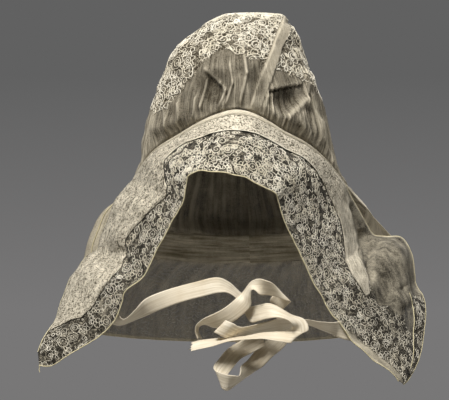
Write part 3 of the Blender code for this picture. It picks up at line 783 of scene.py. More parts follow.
def leaf(root, angle, length, half_width):
    """A pointed leaf that grows from its root, as a closed outline of flat points."""
    count = max(4, int(length / THREAD_STEP))
    out = np.arange(count) / count
    share = np.concatenate((out, 1.0 - out))
    side = np.repeat((1.0, -1.0), count)
    bulge = half_width * np.abs(np.sin(math.pi * share)) ** 0.8 * side
    return placed(length * share, bulge, angle, root), True


def spiral(middle, first, last, turns, start, hand):
    """A thread that winds outwards about a middle, as flat points."""
    count = max(6, int(math.pi * (first + last) * turns / THREAD_STEP))
    share = np.arange(count + 1) / count
    angle = start + hand * FULL_TURN * turns * share
    reach = first + (last - first) * share
    return placed(reach * np.cos(angle), reach * np.sin(angle), 0.0, middle), False


def flower(half, chance):
    """A flower with petals, a ring of petals inside it and an eye."""
    petals = chance.choice((5, 6))
    turn = chance.uniform(0.0, 6.28)
    return [
        loop((0.0, 0.0), 0.76 * half, 1.0, turn, petals, 0.22),
        loop((0.0, 0.0), 0.40 * half, 1.0, turn + 0.5, petals, 0.16),
        loop((0.0, 0.0), 0.14 * half),
    ]


def ringed(half, chance):
    """Two rings, one in the other, round an eyelet."""
    return [
        loop((0.0, 0.0), 0.95 * half, 0.82, chance.uniform(0.0, 3.0), 9, 0.07),
        loop((0.0, 0.0), 0.55 * half, 0.85, chance.uniform(0.0, 3.0)),
        loop((0.0, 0.0), 0.12 * half),
    ]


def scroll(half, chance):
    """A scroll with small leaves along its outside."""
    hand = chance.choice((-1.0, 1.0))
    start = chance.uniform(0.0, 6.28)
    parts = [spiral((0.0, 0.0), 0.14 * half, 0.72 * half, 1.6, start, hand)]
    for step in range(5):
        turns = 0.9 + 0.16 * step
        angle = start + hand * FULL_TURN * turns
        reach = (0.14 + 0.58 * turns / 1.6) * half
        root = (reach * math.cos(angle), reach * math.sin(angle))
        parts.append(leaf(root, angle + 0.5 * hand, 0.42 * half, 0.14 * half))
    return parts


def sprig(half, chance):
    """A bent stem with pairs of leaves and a bud."""
    bend = chance.uniform(-0.5, 0.5)
    along = -0.9 * half + THREAD_STEP * np.arange(int(1.8 * half / THREAD_STEP) + 1)
    stem = np.stack((bend * half * (np.cos(1.6 * along / half) - 0.5), along), axis=1)
    parts = [(stem, False)]
    for share in (0.2, 0.45, 0.7):
        root = stem[int(share * (len(stem) - 1))]
        for side in (-1.0, 1.0):
            parts.append(leaf(root, math.pi / 2 - side * 0.95, 0.55 * half, 0.17 * half))
    parts.append(loop(stem[-1], 0.2 * half))
    return parts


def drop(half, chance):
    """A curved drop with a smaller one inside it, and an eye."""
    turn = chance.uniform(0.0, 6.28)
    parts = []
    for size in (1.0, 0.55):
        count = int(4.6 * half * size / THREAD_STEP)
        angle = FULL_TURN * np.arange(count) / count
        reach = half * size * 0.86 * (0.62 + 0.38 * np.cos(angle / 2.0) ** 6 * 1.6)
        bent = angle + 0.8 * (reach / half) ** 2 + turn
        parts.append((np.stack((reach * np.cos(bent), reach * np.sin(bent)), axis=1), True))
    parts.append(loop((0.0, 0.0), 0.13 * half))
    return parts


def wander(half, chance, length=8.0):
    """A thread that wanders in short turns, one way and then the other, about a middle. Its
    length is in halves of the motif's width."""
    place = np.zeros(2)
    heading = chance.uniform(0.0, 6.28)
    hand, left, radius = 1.0, 0.0, half
    points = []
    for step in range(int(length * half / THREAD_STEP)):
        if left <= 0.0:
            hand = -hand
            if np.linalg.norm(place) > 0.7 * half:
                inwards = place[1] * math.cos(heading) - place[0] * math.sin(heading)
                hand = -1.0 if inwards > 0.0 else 1.0
            left = chance.uniform(1.4, 4.4)
            radius = half * chance.uniform(0.19, 0.36)
        points.append(tuple(place))
        heading += hand * THREAD_STEP / radius
        left -= THREAD_STEP / radius
        place = place + THREAD_STEP * np.array([math.cos(heading), math.sin(heading)])
    return [(points, False)]


def on_cloth(places, across, along):
    """Points at shares across and along a cloth, between the points of its grid."""
    last = np.array(places.shape[:2]) - 1
    column = np.clip(across, 0.0, 1.0) * last[0]
    row = np.clip(along, 0.0, 1.0) * last[1]
    left = np.minimum(column.astype(int), last[0] - 1)
    low = np.minimum(row.astype(int), last[1] - 1)
    right_share = (column - left)[:, None]
    up_share = (row - low)[:, None]
    lower = places[left, low] * (1.0 - right_share) + places[left + 1, low] * right_share
    upper = places[left, low + 1] * (1.0 - right_share) + places[left + 1, low + 1] * right_share
    return lower * (1.0 - up_share) + upper * up_share


def cloth_frame(places, middle, reach):
    """At a place on a cloth: how its shares change for each millimetre to the side and up,
    measured over a reach on either side, and the direction out of the cloth."""
    across, along = middle
    steps = ((reach[0], 0.0), (-reach[0], 0.0), (0.0, reach[1]), (0.0, -reach[1]))
    ends = on_cloth(
        places,
        np.array([across + step[0] for step in steps]),
        np.array([along + step[1] for step in steps]),
    )
    run = (ends[0] - ends[1]) / (2.0 * reach[0])
    climb = (ends[2] - ends[3]) / (2.0 * reach[1])
    side = run / np.linalg.norm(run)
    out = np.cross(run, climb)
    out /= max(np.linalg.norm(out), 1e-9)
    up = np.cross(out, side)
    flat = np.array([[run @ side, climb @ side], [run @ up, climb @ up]])
    return np.linalg.inv(flat), out


def lay(places, middle, reach, parts, lift, wanted, turn=0.0):
    """Lays a motif's flat parts on a cloth. Threads end where the place isn't wanted."""
    if not (0.0 < middle[0] < 1.0 and 0.0 < middle[1] < 1.0):
        return []
    to_shares, out = cloth_frame(places, middle, reach)
    turning = np.array([[math.cos(turn), math.sin(turn)], [-math.sin(turn), math.cos(turn)]])
    laid = []
    for flat_points, closed in parts:
        shares = np.array(flat_points) @ turning @ to_shares.T + np.array(middle)
        points = on_cloth(places, shares[:, 0], shares[:, 1])
        inside = (shares > 0.0).all(axis=1) & (shares < 1.0).all(axis=1)
        kept = [ok and wanted(share, point) for ok, share, point in zip(inside, shares, points)]
        points = points + out * lift
        if all(kept):
            laid.append((points, closed))
            continue
        run = []
        for point, keep in zip(points, kept):
            if keep:
                run.append(point)
            if not keep or point is points[-1]:
                if len(run) > 2:
                    laid.append((np.array(run), False))
                run = []
    return laid


def threads(name, lines, thick, finish, node, thicker=None):
    """Round threads along lines of points, made one mesh, which stand for a node's detail.
    They are as many times thicker at a point as a function says."""
    drawn = bpy.data.curves.new(name, "CURVE")
    drawn.dimensions = "3D"
    drawn.bevel_depth = thick / 2.0 * MM
    drawn.bevel_resolution = 0
    drawn.use_fill_caps = True
    for points, closed in lines:
        spline = drawn.splines.new("POLY")
        spline.points.add(len(points) - 1)
        for corner, place in zip(spline.points, points):
            corner.co = (*(Vector(place) * MM), 1.0)
            corner.radius = thicker(place) if thicker else 1.0
        spline.use_cyclic_u = closed
    drawing = bpy.data.objects.new(name + "_line", drawn)
    bpy.context.scene.collection.objects.link(drawing)
    bpy.context.view_layer.update()
    solid = drawing.evaluated_get(bpy.context.evaluated_depsgraph_get())
    mesh = bpy.data.meshes.new_from_object(solid)
    bpy.data.objects.remove(drawing)
    bpy.data.curves.remove(drawn)
    mesh.name = name
    mesh.materials.clear()
    mesh.materials.append(finish)
    mesh.shade_smooth()
    piece = bpy.data.objects.new(name, mesh)
    bpy.context.scene.collection.objects.link(piece)
    stand_for(piece, node)
    return piece


# Soft twisted cotton thread, whiter than the net, a little yellowed in patches about 17 mm wide
thread, tree, shader = start_material("cotton_thread", 0.8, 0.3)
spot = add(tree, "TexCoord").outputs["Object"]
age = add(tree, "TexNoise", {"Vector": spot, "Scale": 60.0, "Detail": 3.0})
aged = add(tree, "MapRange", {"Value": age, "From Min": 0.35, "From Max": 0.7})
twist = add(tree, "TexVoronoi", {"Vector": spot, "Scale": 1.0 / (TWIST_MM * MM)}, feature="F1")
white, yellowed = linear("#F3EEE0"), linear("#DAD2BD")
colour_and_relief(tree, shader, aged, white, yellowed, twist, 0.6, 0.2)


def seen_place(point):
    """Where a true place stands in the tables: the other way about to true_place."""
    x, y, z = point
    spread = 1.0 + (y - FACE_Y) / FACE_AWAY
    return np.array([SIGHT_X + (x - SIGHT_X) / spread, y, SIGHT_Z + (z - SIGHT_Z) / spread])


def crown_wanted(shares, point):
    """Whether the crown is embroidered at a point on it."""
    x, y, z = seen_place(point)
    middle_y, half_y = crown_level(z)[1], max(crown_level(z)[3], 0.001)
    return lace_share(x, z, (middle_y - y) / half_y) > 0.5


chance = random.Random(11)
crown_kinds = (wander, wander, wander, scroll, flower, sprig, drop)
crown_lines = []
for row in range(CROWN_SPRIG_ROWS):
    rise = LOWEST_ROW + ROWS_RISE * row / (CROWN_SPRIG_ROWS - 1)
    ring_columns = np.linspace(0.0, 1.0, 200)
    ring_run = run_along(on_cloth(crown_grid, ring_columns, np.full(200, rise)))
    count = max(3, round(ring_run[-1] / CROWN_SPRIG_EVERY))
    for step in range(count):
        at_run = ring_run[-1] * (step + 0.5 * (row % 2) + chance.uniform(-0.18, 0.18)) / count
        column = float(np.interp(at_run % ring_run[-1], ring_run, ring_columns))
        middle = (column, rise + chance.uniform(-0.012, 0.012))
        motif = chance.choice(crown_kinds)
        half = CROWN_SPRIG_HALF * chance.uniform(0.85, 1.1)
        parts = motif(half, chance)
        turn = chance.uniform(0.0, 6.28)
        crown_lines += lay(
            crown_grid, middle, CROWN_REACH, parts, THREAD_LIFT, crown_wanted, turn
        )
crown_lace = threads("crown_lace", crown_lines, THREAD_THICK, thread, "crown")

# Front frill
# The wide lace frill round the face, with its two hanging lappets: one strip of net, plain in
# its outer part and thickly embroidered along the face, with a fine cord along each edge.
FRILL_WALL = 0.35
FRILL_STEPS = (620, 52)

# The frill from the left lappet's tip to the band, as sections across it: x, y, z of its outer
# edge, x, y, z of its inner edge round the face, then how far its middle swells out
LEFT_LAPPET = (
    (-188, -32, -230, -187, -40, -243, 0), (-183, -28, -217, -175, -44, -243, 2),
    (-177, -22, -208, -159, -47, -233, 4), (-171, -14, -199, -140, -50, -222, 6),
    (-167, -4, -185, -128, -52, -214, 8), (-163, 3, -175, -115, -54, -200, 9),
    (-158, 9, -161.5, -108, -55, -183, 9), (-151, 13, -152, -104.5, -56, -172, 8),
    (-142.5, 16, -140, -89, -56, -160, 5), (-132, 18, -133, -82, -57, -148, 5),
    (-128, 20, -119, -74.5, -58, -132, 8), (-122, 22, -105.5, -67.5, -60, -120, 9),
    (-116, 24, -89, -61, -62, -107, 9), (-109.5, 27, -80, -55, -65, -97, 8),
    (-102.5, 30, -71.5, -50, -68, -88, 7),
)

# The same over the forehead, where the outer edge follows the band: x on the seam, then
# x, y, z of the inner edge and the swell
FOREHEAD = (
    (-93, -47.5, -70, -75, 7), (-84, -46, -72, -66.5, 6), (-74, -44, -74, -62, 6),
    (-56, -34.5, -77, -58, 6), (-34, -23, -79, -59, 6), (-18, -12, -80, -59.5, 6),
    (-1.5, -1.5, -80, -62, 6), (14, 8.5, -79, -64, 6), (30, 19, -78, -70, 6),
    (46, 28.5, -76, -74.5, 6), (65, 37, -73, -79, 6), (80, 39, -70, -83.5, 6),
    (90, 41, -67, -91, 6), (99, 45.5, -64, -105.5, 6),
)

# The same from the band to the right lappet's tip, with the columns of the left lappet
RIGHT_LAPPET = (
    (110, 43, -84, 53, -61, -121.5, 6), (117, 50, -96, 61, -59, -138, 6),
    (124, 58, -109, 68.5, -57, -154, 6), (131, 63, -119, 74, -56, -166, 6),
    (143, 66, -120.5, 78, -55, -172, 6), (157, 69, -121.5, 82, -54, -178.5, 7),
    (166, 66, -135, 85.5, -53, -186, 8), (169, 63, -150, 91, -52, -195, 9),
    (170.5, 58, -165, 97, -51, -201, 10), (178, 50, -178.5, 103.5, -50, -210, 10),
    (180, 40, -192, 110, -49, -220, 9), (178.5, 27, -209, 120, -47, -228, 8),
    (176, 10, -228, 131, -45, -238.5, 6), (171, -6, -243, 141.5, -43, -245, 4),
    (164, -22, -255.5, 149, -41, -251, 2), (159, -34, -261, 154, -39, -258, 0),
)

# Folds of the frill seen from the front: x and z at each end, half width, height, where a
# height below zero is a valley
FRILL_FOLDS = (
    (-150, -146, -106, -136, 4, -1.6), (112, -92, 122, -118, 4, -5),
    (122, -118, 131, -158, 4.5, -7), (133, -132, 141, -180, 6, -6), (156, -138, 158, -180, 8, 4),
    (127, -124, 152, -166, 5, 1.6), (149, -126, 160, -172, 2.6, 1.6),
    (163, -128, 166, -166, 3, -1.6), (134, -112, 128, -96, 3, -2),
    (-108, -132, -100, -146, 2.4, -1.6),
)

# Places of the frill that are paler: x and z of the middle, half width, half height, how much,
# where less than zero is darker. The darker places are painted shade, in the right lappet's
# valleys and low on it, and the two over the forehead are painted light where the light falls
# most.
FRILL_TONE_AND_PAINTED_LIGHT = (
    (-1, -24, 9, 16, 0.25), (2, -36, 52, 26, 0.06), (118, -124, 7, 17, 0.2),
    (130, -152, 7, 19, 0.2), (138, -162, 6, 22, -0.2), (146, -192, 22, 24, -0.12),
    (126, -110, 4, 12, -0.2), (-124, -187, 6, 12, 0.3), (-84, -82, 18, 9, 0.12),
)
FRILL_WIDE = 75.0
FRILL_WRINKLES = ((26.0, 2.0), (9.0, 0.8))  # how long and how high
EDGE_FADE = 0.12
TURNED_WIDE = 7.6
TURNED_FROM = 37.5  # the section at which the right lappet's turned up edge starts
STRIP_SHARE = 0.2
STRIP_FROM = 37.0  # and the embroidered strip along its outer edge
LEAST_FIGURED = 0.22


def frill_rows():
    """All sections of the frill in order: outer edge, inner edge, swell."""
    rows = list(LEFT_LAPPET)
    for seam_x, x, y, z, swell in FOREHEAD:
        rows.append((*below_band(seam_share_at(seam_x)), x, y, z, swell))
    return rows + list(RIGHT_LAPPET)


FRILL = np.array(frill_rows())
FRILL_LAST = len(FRILL) - 1.0


def frill_base(place, across):
    """The frill before its folds, from its outer edge (across 0) to the face (1)."""
    row = through(FRILL, place)
    outer, inner, swell = row[:3], row[3:6], row[6]
    along = through(FRILL, min(place + 0.2, FRILL_LAST)) - through(FRILL, max(place - 0.2, 0.0))
    run = along[:3] * (1 - across) + along[3:6] * across
    normal = np.cross(inner - outer, run)
    normal /= np.linalg.norm(normal)
    point = outer + (inner - outer) * across
    return point + normal * swell * math.sin(math.pi * across) ** 1.3, normal


def frill_place(place, across, lift=0.0):
    """A point on the frill with its folds, lifted off it towards the viewer."""
    point, normal = frill_base(place, across)
    faded = smooth(across / EDGE_FADE) * smooth((1.0 - across) / EDGE_FADE)
    height = folds_at(point[0], point[2], FRILL_FOLDS)[0] * faded
    height += sum(wrinkle(point, size, high) for size, high in FRILL_WRINKLES) * faded
    height += 0.5 + wrinkle(point, 6.0, 0.35) * (1.0 - faded)
    return point + normal * (height + lift)


def frill_columns(along):
    """Spreads the frill's columns evenly along its run: the section at a share of it."""
    return float(np.interp(along, frill_shares, frill_places_at))


# The frill's run along its middle, measured so that its columns are even
frill_places_at = np.linspace(0.0, FRILL_LAST, 400)
frill_middle = np.array([frill_base(place, 0.6)[0] for place in frill_places_at])
frill_run = run_along(frill_middle)
frill_shares = frill_run / frill_run[-1]
frill_flat = (frill_run[-1] * MM, FRILL_WIDE * MM)

# How much of the frill's width is embroidered, from the face outwards, at sections along it
FRILL_LACE = (
    (0, 1), (2, 1), (4, 0.62), (6, 0.52), (8, 0.45), (12, 0.44), (15, 0.5), (17, 0.7), (20, 0.72),
    (27, 0.76), (30, 0.68), (33, 0.52), (36, 0.42), (38, 0.5), (39.5, 0.66), (41, 0.84), (42, 1),
    (44, 1),
)
frill_lace_columns = np.array(FRILL_LACE).T


def frill_laced(place, across):
    """How far a place on the frill lies in its embroidery (above 0.5) or outside it."""
    border = between(frill_lace_columns, place)[0] + 0.02 * math.sin(place * 4.4)
    inner = smooth(0.5 + (border - (1.0 - across)) / 0.06)
    outer_strip = smooth(0.5 + (STRIP_SHARE - across) / 0.05) * smooth((place - STRIP_FROM) / 1.5)
    return max(inner, outer_strip)


def turned_up(place, across):
    """Whether a place is on the right lappet's turned up edge (1), a plain doubled strip."""
    row = through(FRILL, place)
    from_edge = (1.0 - across) * float(np.linalg.norm(row[3:6] - row[:3]))
    return smooth((TURNED_WIDE - from_edge) / 1.2 + 0.5) * smooth((place - TURNED_FROM) / 1.5)


def frill_cloth(along, across):
    """A point on the frill's net, paler where a second layer or the tie lies behind it, with
    painted light over the forehead and painted shade on the right lappet.
    """
    place = frill_columns(along)
    laced = frill_laced(place, across)
    point = frill_place(place, across)
    turned = turned_up(place, across)
    backing_and_painted_light = 0.4 * turned
    for middle_x, middle_z, half_width, half_height, more in FRILL_TONE_AND_PAINTED_LIGHT:
        gap = math.hypot((point[0] - middle_x) / half_width, (point[2] - middle_z) / half_height)
        backing_and_painted_light += more * smooth(1.4 - gap)
    hem = smooth((across - 0.975) / 0.02) + smooth((0.02 - across) / 0.015)
    return point, min(min(hem, 1.0) * 0.8 + backing_and_painted_light, 1.0), max(laced * (1.0 - turned), LEAST_FIGURED)


frill_net = net_material(
    "embroidered_net",
    shade_colour="#221E16",
    light="#E6DDC7",
    pale=0.26,
    creases=(60.0, 260.0, 1.0),
    crease_strength=0.2,
    floor=0.55,
    cover=0.75,
    curl_width=0.025,
    curl_strength=0.4,
    figured_shade=-0.4,
    figure_cover=0.3,
)
frill, frill_grid = cloth(
    "frill_net", FRILL_STEPS, frill_flat, frill_cloth, frill_net, FRILL_WALL
)
stand_for(frill, "front_frill")

# Frill lace
# The same cotton thread, worked thinner in a dense border along the face and on the lappets:
# rings, flowers, scrolls and drops among wandering lines, with loose curls between them.
FRILL_MOTIF_EVERY = 10.8
FRILL_MOTIF_HALF = 6.4
FRILL_THREAD = 0.53
CURL_LENGTH = 3.1
FRAME_REACH = 4.0  # how far to either side the cloth's directions are measured
BOLD_HEIGHTS = (-200.0, -120.0, -85.0, -55.0)
BOLD_TIMES = (0.78, 0.88, 1.0, 1.4)
FINE_PLACE = (148.0, -188.0, 28.0, 30.0)  # x, z, half width, half height
FINE_LESS = 0.38


def frill_wanted(shares, point):
    """Whether the frill is embroidered at a point on it."""
    place = frill_columns(shares[0])
    if frill_laced(place, shares[1]) < 0.5 or turned_up(place, shares[1]) > 0.5:
        return False
    if FACING[0][0] < place < FACING[-1][0]:
        start, end = between(facing_columns, place)
        return not start < shares[1] < end
    return True


# The second layer laid over the frill: the section it is at, counted from the left tip, and
# the shares of the frill's width between which it lies there
FACING = (
    (2, 0.02, 0.08), (3, 0.02, 0.33), (4, 0.02, 0.6), (5, 0.02, 0.67), (7, 0.02, 0.75),
    (8, 0.02, 0.68), (9, 0.02, 0.6), (10, 0.02, 0.56), (11, 0.02, 0.62), (12, 0.02, 0.7),
    (14, 0.02, 0.76), (15, 0.02, 0.75), (16, 0.02, 0.62), (17, 0.02, 0.45), (18, 0.02, 0.34),
    (20, 0.02, 0.34), (22, 0.02, 0.32), (23, 0.02, 0.28), (25, 0.02, 0.29), (27, 0.02, 0.32),
    (28, 0.03, 0.34), (29, 0.06, 0.36), (30, 0.18, 0.4), (31, 0.24, 0.49), (32, 0.32, 0.57),
    (33, 0.44, 0.62), (34, 0.54, 0.68), (35, 0.58, 0.68), (36, 0.62, 0.66),
)
facing_columns = np.array(FACING).T

frill_kinds = (wander, wander, flower, wander, drop, wander, scroll, wander, ringed)
frill_lines = []
count = round(frill_run[-1] / FRILL_MOTIF_EVERY)
for step in range(count):
    along = (step + 0.5) / count
    place = frill_columns(along)
    row = through(FRILL, place)
    width = float(np.linalg.norm(row[3:6] - row[:3]))
    rows = max(2, round(width / (FRILL_MOTIF_EVERY * 0.93)))
    for line in range(rows):
        across = 1.0 - (line + 0.5) / rows
        middle = (
            along + (0.5 * (line % 2) - 0.25) / count + chance.uniform(-0.07, 0.07) / count,
            across + chance.uniform(-0.07, 0.07) / rows,
        )
        motif = chance.choice(frill_kinds)
        half = FRILL_MOTIF_HALF * chance.uniform(0.9, 1.12)
        reach = (FRAME_REACH / frill_run[-1], min(FRAME_REACH / width, 0.12))
        parts = motif(half, chance)
        turn = chance.uniform(0.0, 6.28)
        frill_lines += lay(frill_grid, middle, reach, parts, -THREAD_LIFT, frill_wanted, turn)
        gap_middle = (middle[0] + 0.5 / count, middle[1] + 0.4 / rows)
        parts = wander(half, chance, CURL_LENGTH)
        frill_lines += lay(frill_grid, gap_middle, reach, parts, -THREAD_LIFT, frill_wanted)


def bolder_high_up(place):
    """How many times thicker the thread is at a point: the lace is boldest over the forehead,
    and finest on the outer part of the right lappet."""
    bold = float(np.interp(place[2], BOLD_HEIGHTS, BOLD_TIMES))
    middle_x, middle_z, half_width, half_height = FINE_PLACE
    gap = math.hypot((place[0] - middle_x) / half_width, (place[2] - middle_z) / half_height)
    return bold * (1.0 - FINE_LESS * smooth(1.5 - gap))


frill_lace = threads(
    "frill_lace", frill_lines, FRILL_THREAD, thread, "front_frill", bolder_high_up
)

# Edge cords
# A fine yellowish cotton cord, whipped along both edges of the frill and its lappets. Another
# runs inside the right lappet's outer strip, and a loose end hangs from the left lappet's tip.
CORD_THICK = 1.0
WHIP_MM = 1.1
INSIDE_STRIP = (0.21, 37.6, 42.2)  # share of the width, first and last section
LOOSE_END = (
    (-187, -40.4, -242), (-186.6, -40.2, -244.4), (-187.1, -40, -246.6), (-186.4, -40, -249),
)

# Cotton cord wound round with yellowed thread, with a painted highlight on each turn and painted
# shade between them
edge_cord, tree, shader = start_material("yellowed_cord", 0.75)
spot = add(tree, "TexCoord").outputs["Object"]
whip = add(tree, "TexVoronoi", {"Vector": spot, "Scale": 1.0 / (WHIP_MM * MM)}, feature="F1")
lit_cord, shaded_cord = linear("#F2E9C8"), linear("#C6BC92")
colour_and_relief(tree, shader, whip, lit_cord, shaded_cord, whip, 0.7, 0.3)

edge_lines = []
for across, first, last, count in (
    (1.0, 0.0, FRILL_LAST, 700),
    (0.0, 0.0, float(len(LEFT_LAPPET)), 300),
    (0.0, FRILL_LAST - len(RIGHT_LAPPET), FRILL_LAST, 300),
):
    edge = [true_place(frill_place(place, across)) for place in np.linspace(first, last, count)]
    edge_lines.append((edge, False))
across, first, last = INSIDE_STRIP
strip = [frill_place(place, across) for place in np.linspace(first, last, 90)]
edge_lines.append(([true_place((x, y - 0.5, z)) for x, y, z in strip], False))
edge_lines.append(([true_place(place) for place in LOOSE_END], False))
frill_cord = threads(
    "frill_edge_cord", edge_lines, CORD_THICK, edge_cord, "front_frill"
)

# Facing
# A second layer of close dotted net laid over the frill's outer part, caught into the band
# and loose along its other edge, where it ends in a pale folded rim.
FACING_WALL = 0.4
FACING_STEPS = (520, 16)
FACING_LIFT_AT_SEAM = 1.7
FACING_LIFT_AT_EDGE = 2.3
FACING_LIFT_ON_LAPPET = 1.8
FACING_WIDE = 25.0  # as it shows on average
FACING_RIM = 1.0
RIM_ALONG = (0.43, 0.74)  # shares of its run between which its edge shows a rim
OVER_FACE = (14.0, 28.5)  # sections between which it lies over the forehead
# The painted highlight on the facing over the middle of the forehead
FACING_PAINTED_HIGHLIGHT = (-2.0, -20.0, 16.0, 22.0)  # x, z, half width, half height

facing_first, facing_last = FACING[0][0], FACING[-1][0]
facing_starts = np.interp(
    facing_first + (facing_last - facing_first) * np.linspace(0.0, 1.0, 300),
    frill_places_at,
    frill_run,
)
facing_run = float(facing_starts[-1] - facing_starts[0])


def facing_place(along, across):
    """A point on the layer over the frill, which stands off more at its free edge."""
    run = facing_starts[0] + along * facing_run
    place = float(np.interp(run, frill_run, frill_places_at))
    start, end = between(facing_columns, place)
    over_face = smooth((place - OVER_FACE[0]) / 2.5) * smooth((OVER_FACE[1] - place) / 2.5)
    edge_lift = FACING_LIFT_ON_LAPPET + (FACING_LIFT_AT_EDGE - FACING_LIFT_ON_LAPPET) * over_face
    lift = FACING_LIFT_AT_SEAM + (edge_lift - FACING_LIFT_AT_SEAM) * across
    return frill_place(place, start + (end - start) * across, lift - 0.5)


def facing_cloth(along, across):
    """A point on the facing's net, with painted light: paler higher up, and palest, a painted
    highlight, in the middle of the forehead.
    """
    place = facing_place(along, across)
    middle_x, middle_z, half_width, half_height = FACING_PAINTED_HIGHLIGHT
    gap = math.hypot((place[0] - middle_x) / half_width, (place[2] - middle_z) / half_height)
    pale = smooth(1.3 - gap)
    rim = smooth((across - 0.9) / 0.06)
    over_face = smooth((place[2] + 60.0) / 30.0)
    flecked = 1.0 - 0.8 * smooth((place[0] - 88.0) / 16.0)
    flecked -= 0.3 * smooth((-70.0 - place[2]) / 30.0)
    # Painted light makes it paler higher up and palest in the middle of the forehead; its folded rim
    # is paler over the face.
    paler_and_painted_light = 0.08 + 0.05 * over_face + 0.2 * pale + 0.25 * rim * over_face
    return place, min(paler_and_painted_light, 1.0), max(flecked, 0.1)


facing_net = net_material(
    "dotted_net",
    shade_colour="#575140",
    light="#EBE3D1",
    pale=0.45,
    creases=(110.0, 430.0, 1.0),
    crease_strength=0.34,
    floor=0.8,
    cover=1.0,
    mesh=1.9,
    curl=2.6,
    curl_width=0.05,
    curl_strength=0.3,
    speck=1.7,
    speck_strength=0.76,
)
facing_flat = (facing_run * MM, FACING_WIDE * MM)
facing = cloth("facing_net", FACING_STEPS, facing_flat, facing_cloth, facing_net, FACING_WALL)[0]
stand_for(facing, "frill_facing")
rim_points = [true_place(facing_place(along, 1.0)) for along in np.linspace(*RIM_ALONG, 240)]
facing_rim = threads(
    "facing_rim", [(rim_points, False)], FACING_RIM, thread, "frill_facing"
)

# Back curtain
# A single layer of plain cotton net that hangs from the band round the back of the neck in soft
# pleats, with a narrow hem. A fine cord runs along the hem and twice down its left end.
CURTAIN_WALL = 0.35
CURTAIN_STEPS = (300, 60)
CURTAIN_WIDE = 420.0
CURTAIN_DEEP = 100.0
CURTAIN_PLEAT = 21.0
CURTAIN_PLEAT_HEIGHT = 1.8

# The curtain from its left end round the nape to its right end: x on or share along the band,
# then x, y, z of its belly and of its hem
CURTAIN = (
    (-0.214, -111, 38, -100, -136, 30, -182), (-0.224, -133, 46, -109, -152, 48, -184),
    (-0.27, -134, 80, -130, -148, 84, -200), (-0.34, -118, 116, -158, -132, 128, -212),
    (-0.42, -66, 138, -170, -76, 156, -218), (-0.5, 0, 144, -174, 0, 164, -220),
    (-0.58, 66, 138, -172, 78, 156, -218), (-0.65, 122, 118, -162, 136, 126, -208),
    (-0.7, 150, 94, -144, 163, 96, -186), (-0.728, 159, 79, -134, 167, 74, -160),
)
BELLY = 0.45
HEM_CORD = 0.9
CORDS_DOWN = (0.0, 0.085)


def curtain_place(share, down):
    """A point on the curtain, from the band (0) to its hem (1)."""
    row = through(CURTAIN, share * (len(CURTAIN) - 1))
    fall = down / BELLY if down < BELLY else 1.0 + (down - BELLY) / (1.0 - BELLY)
    point = through((below_band(row[0]), row[1:4], row[4:7]), fall)
    run = share * CURTAIN_WIDE
    slip = wrinkle((run, 20.0 * down, 3.0), 40.0, 9.0)
    pleat = math.cos(2.0 * math.pi * (run + slip) / CURTAIN_PLEAT)
    held = smooth(share / 0.06) * smooth((1.0 - share) / 0.06) * smooth(down / 0.12)
    height = (CURTAIN_PLEAT_HEIGHT * pleat + wrinkle(point, 15.0, 1.2)) * held
    return point + height * outward(point)


def curtain_cloth(share, down):
    """A point on the curtain's net, doubled along its hem, paler near the band and at its left
    end, with painted light at its right end.
    """
    hem = smooth((down - 0.955) / 0.01)
    held = smooth(1.0 - down / 0.15)
    # Painted light: the right end, in shade behind the right lappet, is made paler.
    end = smooth(1.6 - share / 0.12) + 2.0 * smooth((share - 0.72) / 0.08)
    return curtain_place(share, down), min(0.7 * hem + 0.25 * held + 0.4 * end, 1.0), 0.0


curtain_net = net_material(
    "plain_net",
    shade_colour="#544D3B",
    light="#E2D9C4",
    pale=0.3,
    creases=(260.0, 30.0, 1.0),
    crease_strength=0.2,
    floor=0.45,
    cover=0.7,
)
curtain_flat = (CURTAIN_WIDE * MM, CURTAIN_DEEP * MM)
curtain = cloth(
    "curtain_net", CURTAIN_STEPS, curtain_flat, curtain_cloth, curtain_net, CURTAIN_WALL
)[0]
stand_for(curtain, "back_curtain")
hem_points = [true_place(curtain_place(share, 1.0)) for share in np.linspace(0.0, 1.0, 500)]
hem_lines = [(hem_points, False)]
for share in CORDS_DOWN:
    down_points = [curtain_place(share, down) for down in np.linspace(0.02, 1.0, 80)]
    hem_lines.append(([true_place(place - (0.6, 0.6, 0.0)) for place in down_points], False))
curtain_hem = threads(
    "curtain_hem", hem_lines, HEM_CORD, edge_cord, "back_curtain"
)

# Floor and lights
# A pale studio floor far below the raised cap, a plain grey room, and soft warm lights.
FLOOR_Z = -1.65
FLOOR_RADIUS = 2.4
ROOM_LIGHT = 0.22

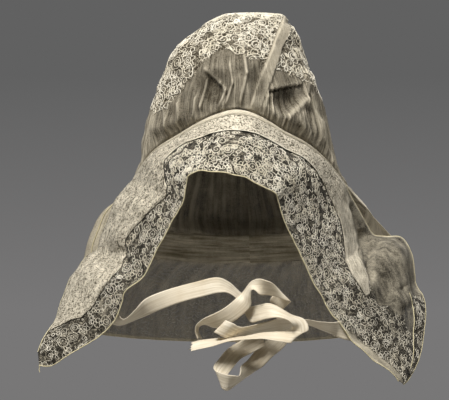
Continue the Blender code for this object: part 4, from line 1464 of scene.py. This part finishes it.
floor_grid = bmesh.new()
bmesh.ops.create_circle(floor_grid, cap_ends=True, segments=96, radius=FLOOR_RADIUS)
floor_mesh = bpy.data.meshes.new("floor")
floor_grid.to_mesh(floor_mesh)
floor_grid.free()
floor_finish, tree, shader = start_material("studio_floor", 0.9)
shader.inputs["Base Color"].default_value = linear("#E2DFDA")
floor_mesh.materials.append(floor_finish)
floor = bpy.data.objects.new("floor", floor_mesh)
floor.location = (0.0, 0.05, FLOOR_Z)
bpy.context.scene.collection.objects.link(floor)

room = bpy.data.worlds.new("room")
room.use_nodes = True
tree = room.node_tree
shine = tree.nodes["Background"]
shine.inputs["Color"].default_value = linear("#6B6862")
shine.inputs["Strength"].default_value = ROOM_LIGHT
# What the lens sees of the room: a grey wall, a little darker towards the top
wall_height = add(tree, "SeparateXYZ", {"Vector": add(tree, "TexCoord").outputs["Generated"]})
wall_reach = {"Value": wall_height.outputs["Z"], "From Min": -0.035, "From Max": 0.04}
wall_share = add(tree, "MapRange", wall_reach)
wall_ends = {0: wall_share, 6: linear("#787777"), 7: linear("#616161")}
wall_tone = add(tree, "Mix", wall_ends, data_type="RGBA").outputs[2]
wall = add(tree, "Background", {"Color": wall_tone, "Strength": 1.0})
to_lens = add(tree, "LightPath").outputs["Is Camera Ray"]
either = add(tree, "MixShader", {0: to_lens, 1: shine, 2: wall})
tree.links.new(either.outputs[0], tree.nodes["World Output"].inputs["Surface"])
bpy.context.scene.world = room
bpy.context.scene.view_settings.view_transform = "Standard"


def soft_light(name, place, aim, size, power, colour):
    """A square soft light that shines from its place towards a point."""
    made = bpy.data.lights.new(name, "AREA")
    made.shape = "SQUARE"
    made.size = size
    made.energy = power
    made.color = linear(colour)[:3]
    lamp = bpy.data.objects.new(name, made)
    lamp.location = place
    lamp.rotation_euler = (Vector(aim) - Vector(place)).to_track_quat("-Z", "Y").to_euler()
    bpy.context.scene.collection.objects.link(lamp)


soft_light("key", (-0.5, -1.15, 1.6), (0.0, 0.0, -0.05), 0.75, 58.0, "#FFFBF4")
soft_light("fill", (1.2, -1.2, 1.5), (0.0, 0.0, -0.1), 0.8, 16.0, "#FFFCF6")
soft_light("back", (0.2, 1.5, 1.2), (0.0, 0.05, 0.0), 1.0, 18.0, "#FFFCF6")
